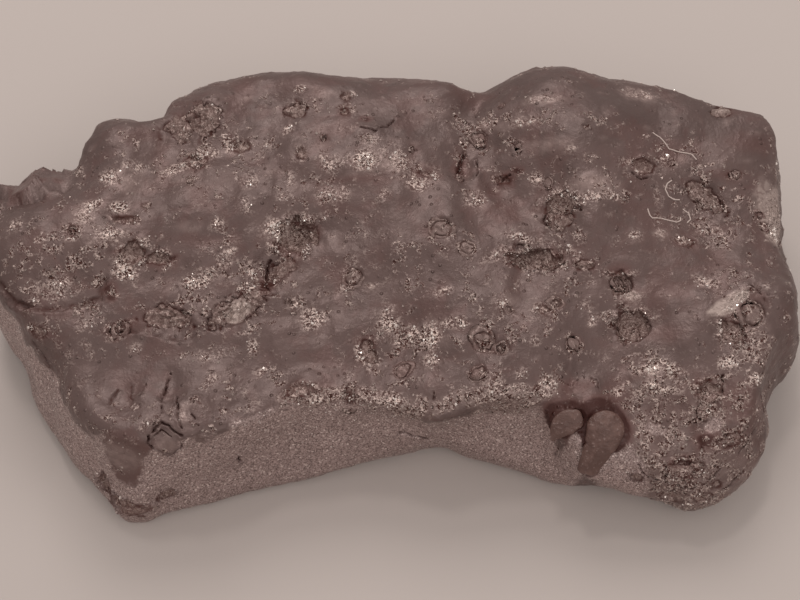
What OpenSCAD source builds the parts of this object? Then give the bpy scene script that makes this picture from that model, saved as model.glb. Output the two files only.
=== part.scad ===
// Silicomanganese lump: one broken piece of a cast slab, lying on its underside.
// The top is the skin that froze in open air, all blisters, folds and craters.
// The sides are broken metal, and the front one is hollowed into a shallow arch.
// Millimetres, +Z up, the origin on the floor under the middle of the lump.

/* [Lump] */
// Length, left to right
lump_l = 104; // [60:1:160]
// Depth, front to back
lump_w = 59; // [36:1:90]
// Thickness, floor to the highest lobe
lump_t = 23; // [14:1:36]

/* [Skin] */
// Height of the cast lobes, against the usual
lobe_scale = 1; // [0:0.1:1.5]
// Depth of the craters and pockets, against the usual
pit_scale = 1; // [0:0.1:1.3]
// Height of the fine puckers
pucker_h = 0.7; // [0:0.1:1.2]
// Which puckers the skin happens to have
skin_seed = 11; // [1:1:99]

/* [Broken faces] */
// How far the back and right sides swell out
side_bulge = 1.8; // [0:0.1:3]
// How far the front face is scooped in
front_scoop = 0.9; // [0:0.1:2]
// Roughness of the broken faces
break_h = 0.7; // [0:0.1:1.2]

/* [Grid] */
// Cells along the length
cells_l = 72; // [24:2:76]
// Cells across the depth
cells_w = 40; // [16:2:44]
// Rows of cells down the sides
cells_t = 8; // [4:1:10]

/* [Hidden] */

// Rim of the skin in plan: four edges that share their end points.
RIM_FRONT = [
    [-30, -26], [-24, -25], [-19, -23.5], [-14, -21], [-7, -20], [0, -20.5], [5, -22.5], [10, -20.5],
    [15, -20], [19, -21.5], [23, -25], [29, -27], [36, -27], [40.5, -25], [43.5, -21.5]
];
RIM_RIGHT = [
    [43.5, -21.5], [44.5, -17.5], [46.5, -13.5], [49.5, -9], [50, -4.5], [48.2, 1], [48.6, 6], [49.3, 12],
    [49.5, 18], [48, 21.5]
];
RIM_BACK = [
    [-49.5, 11], [-45, 12.5], [-41.2, 12.5], [-40, 15.5], [-38, 19.5], [-33.5, 20.5], [-30, 21.5], [-25.5, 26],
    [-17, 27.5], [-5, 27], [4, 27], [12, 25.5], [19, 29], [27, 27.5], [35, 26], [41, 23.5], [48, 21.5]
];
RIM_LEFT = [
    [-30, -26], [-35.5, -24.5], [-40, -20], [-41, -15], [-45, -11], [-48.5, -7.5], [-51.5, -2], [-52, 4.5],
    [-49.5, 11]
];

// Lower edge of the sides, with its height over the floor.
FOOT_FRONT = [
    [-32, -29.5, 1], [-24, -27.5, 1], [-17, -25.5, 1], [-10.5, -24, 1.5], [-4.5, -22.5, 3], [1, -21.5, 4.5],
    [5.5, -20.5, 5], [9.5, -22, 4.5], [15, -23.5, 3.5], [21, -25.5, 3], [28, -25.5, 2.5], [32.5, -26.5, 1],
    [37, -28, 1], [42, -25, 1]
];
FOOT_RIGHT = [
    [42, -25, 1], [44, -21, 1], [45, -16.5, 1], [47.5, -11, 1.5], [50, -6, 2], [48.6, 1, 2], [49, 8, 2],
    [49.5, 15, 2], [47.5, 20.5, 2]
];
FOOT_BACK = [
    [-49, 10, 3], [-45, 11.5, 3], [-40.5, 12.5, 3], [-38, 17.5, 2], [-31, 20.5, 2], [-24, 23.5, 2], [-14, 26, 2],
    [-4, 26.5, 2.5], [8, 24.5, 3], [20, 27, 2.5], [33, 25, 2], [41, 22.5, 2], [47.5, 20.5, 2]
];
FOOT_LEFT = [
    [-32, -29.5, 1], [-38, -26, 1], [-42, -20.5, 1], [-46.5, -14, 1], [-49.5, -8, 1.5], [-52, -2, 2],
    [-52, 3.5, 3], [-49, 10, 3]
];

// Lobes of the skin: middle, half lengths, turn, rise, and how soft the flank is.
LOBES = [
    [[-39, 1], [14, 10], 8, 2.4, 0.75],
    [[-35, 14], [8, 9], 10, 2.2, 0.9],
    [[-23, 5], [15, 11], 25, 1.9, 0.8],
    [[-25, 20], [7, 7], 0, 1.6, 0.8],
    [[-6, 13], [15, 12], 0, 1.6, 1],
    [[-47, 0], [8, 8], 0, 1, 0.8],
    [[-48.5, 12], [8, 5], 10, -1.8, 0.4],
    [[8, 2], [15, 10], -20, 1.3, 1],
    [[21, 17], [15, 12], -10, 3.3, 0.95],
    [[38, 14], [12, 11], 0, 1.2, 1],
    [[25, 3], [12, 8], 15, 1.4, 1],
    [[40, -7], [13, 11], -20, 1.5, 1],
    [[13, -10], [13, 8], 0, 1, 1],
    [[-18, -17], [12, 7], 10, -1.2, 1],
    [[-35, -17], [9, 8], 20, -1.4, 1],
    [[-2, -15], [10, 6], 0, -0.8, 1],
    [[33, -23], [11, 6], 0, -2.8, 1],
    [[11, 19], [5, 10], 0, -1.8, 1],
    [[-34.5, 8.7], [6.5, 5], 5, 0.9, 0.9],
    [[-23.9, 0.8], [8.5, 2.6], 2, -0.7, 1],
    [[-3.8, 11.3], [5.5, 3], 0, 0.6, 1],
    [[14.4, 2.1], [5.5, 2.4], 0, 0.7, 1],
    [[24.9, 7.7], [5, 2.8], 8, 0.9, 0.9],
    [[10.9, 18], [4, 2], 25, 0.8, 1],
    [[31.5, -17.3], [4.5, 2.6], -10, 0.7, 1]
];

// Craters, pockets and burst blisters: middle, half lengths, turn and depth.
PITS = [
    [[-12.7, 2], [3.2, 2.8], 0, 1.1],
    [[-16.3, -3.2], [2.3, 3.6], 0, 0.9],
    [[-20, -7.7], [4.2, 2], 31, 0.9],
    [[-28.6, -9], [3.6, 1.9], -8, 0.8],
    [[-34.1, -10.7], [2.2, 1.7], 10, 0.8],
    [[-33.4, -1.4], [2.3, 1.9], 0, 0.8],
    [[-34, 2.8], [2.8, 1.8], 0, 0.6],
    [[-26.5, 17.7], [3.8, 2.8], -10, 0.7],
    [[-3.7, -13.1], [1.6, 2.6], 20, 0.7],
    [[-3.4, 18.6], [3.1, 2], 0, 0.6],
    [[8.1, 11.9], [2.1, 3.2], 10, 1],
    [[13, 10.3], [2.6, 1.7], 20, 0.9],
    [[20.8, 5.5], [3, 2], 10, 1.2],
    [[17.4, -1.7], [3.9, 2.1], -8, 1.1],
    [[31.1, 10.9], [2.3, 1.8], 0, 0.9],
    [[39.4, 7.9], [3.8, 1.9], -42, 0.9],
    [[27.6, -5], [2.3, 2.1], 0, 1.1],
    [[28.9, -9.8], [2.5, 2.5], 0, 1],
    [[41, -11.5], [2.3, 1.9], -30, 0.9],
    [[37.9, -18.6], [2.3, 2], 0, 1.2],
    [[34.9, -26.2], [2.7, 1.8], 0, 1],
    [[-28.2, -25], [2.4, 1.8], -10, 1]
];

// The drip that ran over the front lip and the bead beside it: middle and radius of each ball.
DRIP_HEAD = [25.8, -23, 13.3];
DRIP_HEAD_R = 2.3;
DRIP_TAIL = [23.9, -26.4, 9.8];
DRIP_TAIL_R = 1.4;
BEAD = [21, -21.7, 13.2];
BEAD_R = 2.1;
GROOVE = 0.7;                // width of the shrinkage groove round them
GROOVE_OUT = [0, -0.5, 0.9]; // way out of the groove, square to the lip

SKIN_Z = 16.9;      // mean height of the skin
SKIN_TILT = 0.08;   // rise of the skin for each millimetre towards the back
MELT_R = 5;         // radius that the skin rolls over with at the cast edges
BREAK_R = 1.6;      // radius left at the broken edges
SKINNED_FROM = 0.62; // part of the front edge that is broken, from the left
TOE = 0.035;        // how far the underside curls up, as a part of the half width
CENTRE = [0, 0];    // middle of the foot
LATTICE = 64;       // size of the table of random heights

random_heights = rands(-1, 1, LATTICE * LATTICE, skin_seed);

function ease(t) = t * t * (3 - 2 * t);
function clamp01(t) = min(1, max(0, t));
function blend(a, b, t) = a + (b - a) * t;
function wrap(i) = (i % LATTICE + LATTICE) % LATTICE;
function random_at(i, j) = random_heights[wrap(i) * LATTICE + wrap(j)];

// Smooth random height, from -1 to 1, that changes over one unit of x and y.
function noise(x, y) =
    let (i = floor(x), j = floor(y), u = ease(x - i), v = ease(y - j))
    blend(blend(random_at(i, j), random_at(i + 1, j), u),
          blend(random_at(i, j + 1), random_at(i + 1, j + 1), u), v);

// Point at the fraction t of a smooth curve through all the points p.
function curve_point(p, t) =
    let (last = len(p) - 1, at = min(last - 0.0001, t * last), i = floor(at), f = at - i,
         a = p[max(0, i - 1)], b = p[i], c = p[i + 1], d = p[min(last, i + 2)])
    (2 * b + (c - a) * f + (2 * a - 5 * b + 4 * c - d) * f * f + (3 * b - a - 3 * c + d) * f * f * f) / 2;

// Distance from the middle of an oval feature, 1 at its rim.
function oval(x, y, middle, half, turn) =
    let (dx = x - middle.x, dy = y - middle.y,
         a = (dx * cos(turn) + dy * sin(turn)) / half.x, b = (dy * cos(turn) - dx * sin(turn)) / half.y)
    norm([a, b]);

function sum(v, i = 0) = i == len(v) ? 0 : v[i] + sum(v, i + 1);

function lobes(x, y) = lobe_scale * sum([
    for (f = LOBES) let (d = oval(x, y, f[0], f[1], f[2])) f[3] * ease(clamp01((1 - d) / f[4]))
]);

// A pit is a bowl with a low raised lip.
function pits(x, y) = pit_scale * sum([
    for (f = PITS) let (d = oval(x, y, f[0], f[1], f[2]))
        0.35 * f[3] * exp(-pow((d - 1.15) / 0.25, 2)) - f[3] * ease(clamp01((1.1 - d) / 0.8))
]);

// Puffed skin: round tops that meet in creases.
function puckers(x, y) =
    pucker_h * (1.7 * abs(noise(x / 6 + 3, y / 6 + 9)) + 1.1 * abs(noise(x / 3.4, y / 3.4)) - 0.9)
    + noise(x / 13 + 20, y / 13);

// How far the skin has run down over the front edge, 0 along the break and 1 on the right lobe.
function skinned(u) = ease(clamp01((u - SKINNED_FROM) / 0.12));

// Drop of a rolled edge of radius r at the distance e in from the rim.
function roll(e, r) = e >= r ? 0 : r - sqrt(r * r - pow(r - max(e, 0.12 * r), 2));

// Point of the skin at the fractions u of the length and v of the depth.
function skin_plan(u, v) =
    blend(curve_point(RIM_FRONT, u), curve_point(RIM_BACK, u), v)
    + blend(curve_point(RIM_LEFT, v), curve_point(RIM_RIGHT, v), u)
    - blend(blend(RIM_FRONT[0], RIM_BACK[0], v),
            blend(RIM_RIGHT[0], RIM_RIGHT[len(RIM_RIGHT) - 1], v), u);

function skin_point(u, v) =
    let (p = skin_plan(u, v),
         edge = max(roll((1 - v) * 50, MELT_R), roll((1 - u) * 90, MELT_R), roll(u * 90, 0.7 * MELT_R),
                    roll(v * 50, blend(BREAK_R, MELT_R, skinned(u)))))
    [p.x, p.y, SKIN_Z + SKIN_TILT * p.y + lobes(p.x, p.y) + pits(p.x, p.y) + puckers(p.x, p.y) - edge];

// The rim runs round anticlockwise: front, right, back, left.
SIDE_STEPS = [cells_l, cells_w, cells_l, cells_w];
RIM_UV = [
    for (i = [0 : cells_l - 1]) [i / cells_l, 0],
    for (i = [0 : cells_w - 1]) [1, i / cells_w],
    for (i = [0 : cells_l - 1]) [1 - i / cells_l, 1],
    for (i = [0 : cells_w - 1]) [0, 1 - i / cells_w]
];
AROUND = len(RIM_UV);

function foot_point(uv) =
    uv.y == 0 ? curve_point(FOOT_FRONT, uv.x)
    : uv.x == 1 ? curve_point(FOOT_RIGHT, uv.y)
    : uv.y == 1 ? curve_point(FOOT_BACK, uv.x)
    : curve_point(FOOT_LEFT, uv.y);

rim = [for (uv = RIM_UV) skin_point(uv.x, uv.y)];
foot = [for (uv = RIM_UV) foot_point(uv)];

// Level direction that points out of the side at the rim point i.
function outward(i) =
    let (a = foot[(i + 2) % AROUND], b = foot[(i + AROUND - 2) % AROUND], d = [a.y - b.y, b.x - a.x, 0])
    d / norm(d);

// The broken front is scooped in, the cast sides swell out, the left stays straight.
function swell(uv) =
    uv.y == 0 ? blend(-front_scoop * sin(180 * uv.x), side_bulge, skinned(uv.x))
    : uv.x == 1 ? side_bulge
    : uv.y == 1 ? side_bulge * (0.4 + 0.6 * uv.x)
    : 0.4 * side_bulge * uv.y;

function side_point(i, s) =
    let (p = blend(rim[i], foot[i], s), hold = sin(180 * s),
         rough = 0.8 * noise(i / 5, 30 + s * 3) + 0.6 * noise(i / 2 + 9, s * 6))
    p + outward(i) * hold * (swell(RIM_UV[i]) + break_h * rough);

function foot_ring(inset, drop) = [
    for (p = foot) let (q = blend([p.x, p.y], CENTRE, inset)) [q.x, q.y, p.z * (1 - drop)]
];

function ring_faces(start, next) = [
    for (i = [0 : AROUND - 1]) let (j = (i + 1) % AROUND)
        each [[start + i, next + j, next + i], [start + i, start + j, next + j]]
];

// All points: the skin's grid, the rows of the sides, two rings of the underside, its middle.
ROW = cells_w + 1;
skin = [for (i = [0 : cells_l], j = [0 : cells_w]) skin_point(i / cells_l, j / cells_w)];
sides = [for (k = [1 : cells_t], i = [0 : AROUND - 1]) k < cells_t ? side_point(i, k / cells_t) : foot[i]];
underside = concat(foot_ring(TOE, 0.7), foot_ring(3 * TOE, 1), [[CENTRE.x, CENTRE.y, 0]]);
raw = concat(skin, sides, underside);

function skin_index(uv) = round(uv.x * cells_l) * ROW + round(uv.y * cells_w);

skin_faces = [
    for (i = [0 : cells_l - 1], j = [0 : cells_w - 1]) let (a = i * ROW + j)
        each [[a, a + 1, a + ROW + 1], [a, a + ROW + 1, a + ROW]]
];
SIDES = len(skin);
top_row_faces = [
    for (i = [0 : AROUND - 1])
        let (j = (i + 1) % AROUND, a = skin_index(RIM_UV[i]), b = skin_index(RIM_UV[j]))
        each [[a, SIDES + j, SIDES + i], [a, b, SIDES + j]]
];
lower_faces = [
    for (k = [0 : cells_t]) each ring_faces(SIDES + k * AROUND, SIDES + (k + 1) * AROUND)
];
FOOT_RING = SIDES + (cells_t + 1) * AROUND;
foot_faces = [
    for (i = [0 : AROUND - 1]) [FOOT_RING + i, FOOT_RING + (i + 1) % AROUND, FOOT_RING + AROUND]
];
faces = concat(skin_faces, top_row_faces, lower_faces, foot_faces);

// The raw shape is stretched and centred to fill the stated length, depth and thickness.
low = [for (a = [0 : 2]) min([for (p = raw) p[a]])];
high = [for (a = [0 : 2]) max([for (p = raw) p[a]])];
grow = [lump_l / (high.x - low.x), lump_w / (high.y - low.y), lump_t / (high.z - low.z)];
middle = [(low.x + high.x) / 2, (low.y + high.y) / 2, low.z];
points = [for (p = raw) [(p.x - middle.x) * grow.x, (p.y - middle.y) * grow.y, (p.z - middle.z) * grow.z]];

module drip(grow, out) {
    translate(out)
        hull() {
            translate(DRIP_HEAD) sphere(DRIP_HEAD_R + grow, $fn = 24);
            translate(DRIP_TAIL) sphere(DRIP_TAIL_R + grow, $fn = 16);
        }
}

module bead(grow, out) {
    translate(BEAD + out) sphere(BEAD_R + grow, $fn = 32);
}

module cast_slab() {
    polyhedron(points = points, faces = faces, convexity = 6);
}

module lump() {
    color("#77635e") {
        difference() {
            cast_slab();
            drip(GROOVE, GROOVE_OUT);
            bead(GROOVE, GROOVE_OUT);
        }
        drip(0, [0, 0, 0]);
        bead(0, [0, 0, 0]);
    }
}

lump();
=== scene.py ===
# %% [markdown]
# # A lump of silicomanganese
# Silicomanganese is smelted in a furnace, cast into a wide bed and broken up when it is cold.
# This lump kept a stretch of the cast top: a brown skin full of lobes, burst gas blisters,
# bits of slag and one drip. The front and the left end are fresh breaks, fine-grained and
# sparkling. The CAD model holds the real size and the main shape. This script copies that
# shape, sculpts the skin on it, and gives the skin and the break their finishes.

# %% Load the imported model
import math

import bmesh
import bpy
import numpy as np
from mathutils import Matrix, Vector, noise
from mathutils.bvhtree import BVHTree


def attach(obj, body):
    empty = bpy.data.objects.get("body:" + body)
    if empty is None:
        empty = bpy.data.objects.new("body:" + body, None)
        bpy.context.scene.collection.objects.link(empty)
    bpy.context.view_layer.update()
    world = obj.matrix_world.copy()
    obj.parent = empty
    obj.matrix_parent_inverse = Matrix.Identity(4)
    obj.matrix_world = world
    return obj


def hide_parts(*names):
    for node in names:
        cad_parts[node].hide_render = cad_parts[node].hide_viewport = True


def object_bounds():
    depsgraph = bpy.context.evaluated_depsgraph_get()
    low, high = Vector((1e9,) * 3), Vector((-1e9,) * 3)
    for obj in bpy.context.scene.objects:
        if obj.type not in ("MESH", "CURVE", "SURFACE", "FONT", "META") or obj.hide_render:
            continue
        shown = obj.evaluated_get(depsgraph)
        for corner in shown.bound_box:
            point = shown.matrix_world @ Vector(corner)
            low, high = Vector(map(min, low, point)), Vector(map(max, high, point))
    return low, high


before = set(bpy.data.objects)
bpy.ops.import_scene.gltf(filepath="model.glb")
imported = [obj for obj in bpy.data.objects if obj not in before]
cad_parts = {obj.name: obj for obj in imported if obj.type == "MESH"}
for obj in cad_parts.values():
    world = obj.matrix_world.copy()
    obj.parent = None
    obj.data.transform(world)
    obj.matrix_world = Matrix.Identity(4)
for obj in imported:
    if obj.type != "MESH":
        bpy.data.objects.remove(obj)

MM = 0.001
FULL_TURN = 2 * math.pi
cad_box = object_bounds()
low, high = (np.array(corner) / MM for corner in cad_box)
print("CAD box in mm:", low.round(2), high.round(2))

# %% [markdown]
# ## Camera, floor and light
# The lump lies on a table and is seen from well above, so the camera stands in front of it
# and looks down at 60 degrees. A long lens keeps the outline close to a plan. One big soft
# window stands behind and to the left, so shadows fall towards the camera. A pale room all
# round lights the front break nearly as well as the skin. A small lamp makes the glints.

# %% Camera
scene = bpy.context.scene
CAMERA_HEIGHT_ANGLE = 60
CAMERA_DISTANCE = 240 * MM
CAMERA_TARGET = Vector((1, -3, 10)) * MM


def place_camera():
    tilt = math.radians(CAMERA_HEIGHT_ANGLE)
    lens = bpy.data.cameras.new("camera")
    lens.lens = 85
    lens.clip_start = 10 * MM
    camera = bpy.data.objects.new("camera", lens)
    away = Vector((0, -math.cos(tilt), math.sin(tilt)))
    camera.location = CAMERA_TARGET + CAMERA_DISTANCE * away
    camera.rotation_euler = (math.radians(90) - tilt, 0, 0)
    scene.collection.objects.link(camera)
    scene.camera = camera


place_camera()

# %% Floor and lights


def new_material(name):
    """A material with only its Principled shader. Returns it, its node tree and the shader."""
    material = bpy.data.materials.new(name)
    material.use_nodes = True
    return material, material.node_tree, material.node_tree.nodes["Principled BSDF"]


FLOOR_HALF = 1.5
FLOOR_COLOUR = (0.560, 0.505, 0.477, 1)


def lay_floor():
    corners = [(x * FLOOR_HALF, y * FLOOR_HALF, 0) for x, y in ((-1, -1), (1, -1), (1, 1), (-1, 1))]
    mesh = bpy.data.meshes.new("floor")
    mesh.from_pydata(corners, [], [(0, 1, 2, 3)])
    floor = bpy.data.objects.new("floor", mesh)
    scene.collection.objects.link(floor)
    material, _, shader = new_material("floor paper")
    shader.inputs["Base Color"].default_value = FLOOR_COLOUR
    shader.inputs["Roughness"].default_value = 0.85
    mesh.materials.append(material)


def soft_light(name, place, size, watts, colour):
    lamp = bpy.data.lights.new(name, "AREA")
    lamp.shape = "RECTANGLE"
    lamp.size, lamp.size_y = size
    lamp.energy = watts
    lamp.color = colour
    light = bpy.data.objects.new(name, lamp)
    light.location = place
    light.rotation_euler = (CAMERA_TARGET - Vector(place)).to_track_quat("-Z", "Y").to_euler()
    scene.collection.objects.link(light)


WARM = (1.0, 0.93, 0.89)
ROOM_STRENGTH = 0.53
lay_floor()
soft_light("window", (-0.03, 0.36, 0.45), (0.30, 0.22), 0.93, WARM)
soft_light("room front", (0.60, -1.2, 1.65), (1.7, 1.1), 7.1, WARM)
soft_light("glint", (-0.08, 0.28, 0.80), (0.09, 0.09), 0.6, WARM)

world = bpy.data.worlds.new("room")
world.use_nodes = True
world.node_tree.nodes["Background"].inputs["Color"].default_value = (*WARM, 1)
world.node_tree.nodes["Background"].inputs["Strength"].default_value = ROOM_STRENGTH
scene.world = world
scene.view_settings.view_transform = "Standard"

# %% [markdown]
# ## The body
# The CAD node is loose triangles, so a copy is merged first. One level of subdivision rounds
# its facets, and a voxel remesh gives even faces all over, which sculpting needs. The flat
# underside needs no faces, so later it is dissolved into one.

# %% Copy the CAD shape and remesh it
VOXEL = 0.60 * MM


def evaluated_mesh(piece):
    graph = bpy.context.evaluated_depsgraph_get()
    return bpy.data.meshes.new_from_object(piece.evaluated_get(graph))


def finished_mesh(piece):
    """The piece's mesh with its modifiers applied. The modifiers are removed from the piece."""
    mesh = evaluated_mesh(piece)
    piece.modifiers.clear()
    piece.data = mesh
    return mesh


def add_modifier(piece, kind, **settings):
    modifier = piece.modifiers.new(kind.lower(), kind)
    for name, value in settings.items():
        setattr(modifier, name, value)
    return modifier


def new_piece(name, mesh):
    piece = bpy.data.objects.new(name, mesh)
    scene.collection.objects.link(piece)
    return piece


def copy_cad_shape(node):
    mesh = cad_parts[node].data.copy()
    shape = bmesh.new()
    shape.from_mesh(mesh)
    bmesh.ops.remove_doubles(shape, verts=shape.verts, dist=0.02 * MM)
    shape.to_mesh(mesh)
    shape.free()
    mesh.materials.clear()
    piece = new_piece("cast_lump", mesh)
    add_modifier(piece, "SUBSURF", levels=1, render_levels=1)
    add_modifier(piece, "REMESH", mode="VOXEL", voxel_size=VOXEL, use_smooth_shade=True)
    add_modifier(piece, "SMOOTH", factor=0.5, iterations=6)
    finished_mesh(piece)
    return piece


lump = copy_cad_shape("lump")
print("remeshed to", len(lump.data.polygons), "faces")

# %% [markdown]
# ## Where the features are
# Everything that marks this lump is given in millimetres. A feature of the skin is
# given by its place in plan and dropped onto the surface with a ray. One of the front break
# is given by length and height, and pushed onto it from the front.

# %% Find a place on the surface
surface = BVHTree.FromObject(lump, bpy.context.evaluated_depsgraph_get())


def on_skin(x, y):
    """Point in mm and normal of the skin at (x, y)."""
    hit, normal, _, _ = surface.ray_cast(Vector((x, y, 60)) * MM, Vector((0, 0, -1)))
    return np.array(hit) / MM, np.array(normal)


def on_front(x, z):
    """Point in mm and normal of the front face at the length x and height z."""
    hit, normal, _, _ = surface.ray_cast(Vector((x, -60, z)) * MM, Vector((0, 1, 0)))
    return np.array(hit) / MM, np.array(normal)


# %% [markdown]
# Gas left the metal as it froze. Where a bubble burst there is a rough crater with rubble in
# it, and where slag floated up and froze there is a wrinkled patch with a crack round it.
# Each row is x, y, half length, half width and turn in degrees. On the front break the second
# number is the height.

# %% Craters and slag
CRATERS = [
    (-11.9, 1.7, 2.6, 2.2, 0), (-32, -1.6, 1.5, 1.3, 0), (21.4, 5.7, 2.4, 1.5, 10),
    (18, -1.9, 3.4, 1.7, -8), (28.1, -5.2, 1.6, 1.4, 0), (29.4, -10, 2, 2, 0), (31.6, 10.9, 1.5, 1, 0),
    (38.3, -18.7, 1.5, 1.3, 0), (41.4, -11.6, 1.7, 1.3, -30), (-33.1, -10.9, 1.4, 1, 10),
    (-24.6, 11.4, 1.4, 1.2, 0), (-19.2, 14.2, 1.3, 0.8, 0), (-2.9, -13.2, 0.9, 1.8, 20),
    (-11.2, -18.9, 1.6, 0.9, 10), (18.3, -9, 0.9, 0.6, 0), (-43, -11.2, 1.2, 0.7, 0),
    (-6, 21.3, 0.7, 0.7, 0), (-6.1, 18.8, 0.5, 0.7, 0), (-11.5, 12.2, 0.6, 0.7, 0),
    (43.4, 10.3, 1, 0.5, 10), (13.9, 9.8, 1, 0.5, -20), (-33, 2.4, 1.5, 0.6, 0),
    (40.5, -24.4, 1.6, 0.8, 30), (16, 13.6, 0.5, 0.5, 0), (4.5, 9.7, 1, 0.5, -10),
    (-28.5, -2, 1.5, 0.9, 0),
]
FRONT_CRATERS = [
    (34.9, 10.9, 2.1, 1.1, 5), (34.3, 6.2, 1.7, 1.3, 20), (29.6, 9.8, 0.9, 0.7, 0),
    (39.3, 8.8, 0.6, 0.5, 0), (-32.2, 3.8, 2.6, 1.6, 0), (-35.4, 4.6, 1.2, 1.6, 0),
    (-27.6, 5, 1.3, 0.7, 20), (38, 7.4, 1, 0.7, 0),
]
SLAG = [
    (-27.6, -9.2, 3, 1.4, -8), (-19, -7.9, 3.7, 1.5, 31), (39.6, 7.5, 2.9, 1.25, -40),
    (-27, 16.8, 1.8, 1.8, 10), (-24, 17.9, 2.1, 2.3, -20), (-13.9, -2.8, 1.8, 1.1, 25),
    (20.9, 3.1, 1.5, 1.3, 0), (-12.3, 19.1, 1.5, 1, 0), (42.6, 20.2, 1.4, 1, 0), (36.4, 0.9, 1, 0.8, 0),
    (23.9, -3, 1.1, 0.6, 10), (37.6, -21, 1, 1.2, 0),
]
print(len(CRATERS) + len(FRONT_CRATERS), "craters,", len(SLAG), "patches of slag")

# %% [markdown]
# Small bubbles left round blisters. A whole one froze as a button with a groove round it, and
# a burst one as a cup with a thick lip. Each row is x, y and radius.

# %% Blisters
BUTTONS = [
    (-4.8, -4, 1.05), (6.1, 1.7, 1.15), (9.2, -0.8, 0.9), (22.1, -13.2, 0.95), (43.8, -9.5, 1.4),
    (11.2, -13, 1.2), (10.4, -17.3, 0.9), (11.1, 16.1, 0.9), (1.4, -15.9, 0.95), (19.6, 8.6, 0.55),
    (43.5, 10.2, 0.6), (46.8, 3.7, 0.55), (-5.1, -19.4, 0.8), (15.9, 13.4, 0.45), (-25.3, 8.3, 0.45),
    (35.4, 11.6, 0.4), (14, 20, 0.4), (-30.6, 4.6, 0.4),
]
CUPS = [
    (13.2, -14, 0.8), (-39.2, 0.2, 0.62), (20.1, -8.1, 0.7), (14.2, -9.2, 0.5), (8.5, 9.9, 0.45),
    (-33.1, -10.9, 0.8), (46.2, 5.2, 0.5), (27.8, -4.8, 0.6), (28.9, -5.6, 0.5), (-24.6, 10.8, 0.4),
    (2.6, 13.2, 0.35), (-8.6, 14.6, 0.4), (24.6, 14.8, 0.35), (33.4, 4.2, 0.3), (-12.6, -7.4, 0.35),
]
print(len(BUTTONS), "buttons and", len(CUPS), "cups")

# %% [markdown]
# The skin wrinkled and tore as it shrank. A tear is a route across the skin with its width
# and depth. A fold is a route where the side to its left rolled over the other.

# %% Tears and folds
TEARS = [
    ([(-29.6, -18), (-29.9, -18.8), (-30.1, -19.6)], 0.08, 0.3),
    ([(-31.3, -18), (-31.4, -19), (-31.2, -20)], 0.15, 0.15),
    ([(-26.7, -16.4), (-27.2, -18.5), (-27.4, -20), (-27.5, -21.7)], 0.11, 0.45),
    ([(-25.7, -19.8), (-25.5, -21.7), (-25.4, -23.3), (-24.8, -24.3)], 0.11, 0.45),
    ([(-23.4, -20), (-23.8, -21.2)], 0.09, 0.35),
    ([(-23.8, -22.4), (-22.8, -23.9), (-21.4, -24.9)], 0.1, 0.4),
    ([(-28.9, -24.9), (-28, -24), (-27.3, -23.3), (-26.2, -24), (-24.9, -25)], 0.13, 0.5),
    ([(-28.9, -24.9), (-29, -25.4), (-28.4, -25.8)], 0.12, 0.4),
    ([(-28.3, -24.7), (-27.4, -24), (-26.2, -24.9)], 0.1, 0.25),
    ([(-27.4, -22.1), (-28.2, -23.6)], 0.1, 0.3), ([(-33, -18.5), (-33.8, -20.5)], 0.2, 0.15),
    ([(-4.1, 16.1), (-3.3, 15.7), (-2.3, 15.5), (-0.7, 16.5), (0.7, 18.3)], 0.1, 0.35),
    ([(9.4, 14.3), (8.8, 12.7), (8.4, 11), (8.3, 9.8)], 0.22, 0.5),
    ([(10.7, 12.8), (10.9, 11.4), (10.8, 10.2)], 0.12, 0.5), ([(13.4, 9.2), (14.8, 10.4)], 0.15, 0.5),
    ([(-15.2, -1.4), (-15.6, -3), (-15.6, -4.6), (-15.2, -5.6)], 0.2, 0.5),
    ([(14.4, -0.5), (15.4, -2.8), (18.4, -3.7), (20.3, -3.1), (21.2, -1.3)], 0.12, 0.5),
    ([(15.5, 0.1), (16.8, 0.3), (18.2, -0.5)], 0.12, 0.4),
    ([(27.5, -8.8), (27.9, -10.6), (28.6, -11.8)], 0.14, 0.5),
    ([(21.2, 4.2), (22.3, 4.5), (23.5, 4)], 0.2, 0.6),
    ([(19.2, 4.4), (19, 3.4), (19.6, 2.4)], 0.12, 0.5),
    ([(20.6, -17.8), (21.6, -18.3), (22.2, -17.6), (23.4, -16.9), (24.6, -17.4), (25.1, -18.9)], 0.07, 0.2),
    ([(39.9, -17), (40.1, -18.4), (39.6, -19.4)], 0.14, 0.35),
    ([(30.3, 9.7), (31.4, 9), (32.6, 9.5)], 0.12, 0.4),
    ([(43.2, -5.4), (44.6, -6.4), (45.6, -8)], 0.08, 0.2),
    ([(-44, -11.5), (-42.6, -13), (-41.9, -14.6)], 0.15, 0.4), ([(5, -19.4), (4.9, -21.2)], 0.1, 0.3),
    ([(45, -16), (44.6, -18.2), (45.4, -19.6)], 0.2, 0.4),
    ([(37.6, -28), (39.4, -27), (41.2, -25.8), (42.8, -24.2), (43.8, -22.6)], 0.1, 0.3),
]
FOLDS = [
    ([(-35, -5.2), (-35.3, -6.4), (-35.6, -7.4), (-37.6, -8.3), (-40.5, -8.9), (-43, -9),
     (-45.5, -8)], 0.3, 0.5),
    ([(-44.6, -8.3), (-46.2, -7.8), (-47.4, -6.6), (-48.2, -5.4)], 0.3, 0.7),
    ([(-24.2, -11.7), (-25.4, -12.3), (-27, -12), (-30, -11.3), (-32, -11.3)], 0.12, 0.4),
    ([(-16.4, -8.2), (-18, -9.6), (-20, -10.2), (-22.4, -9.8)], 0.14, 0.4),
    ([(-18, -5.8), (-19.6, -6.2), (-21.4, -7.6)], 0.14, 0.4),
]
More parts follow.
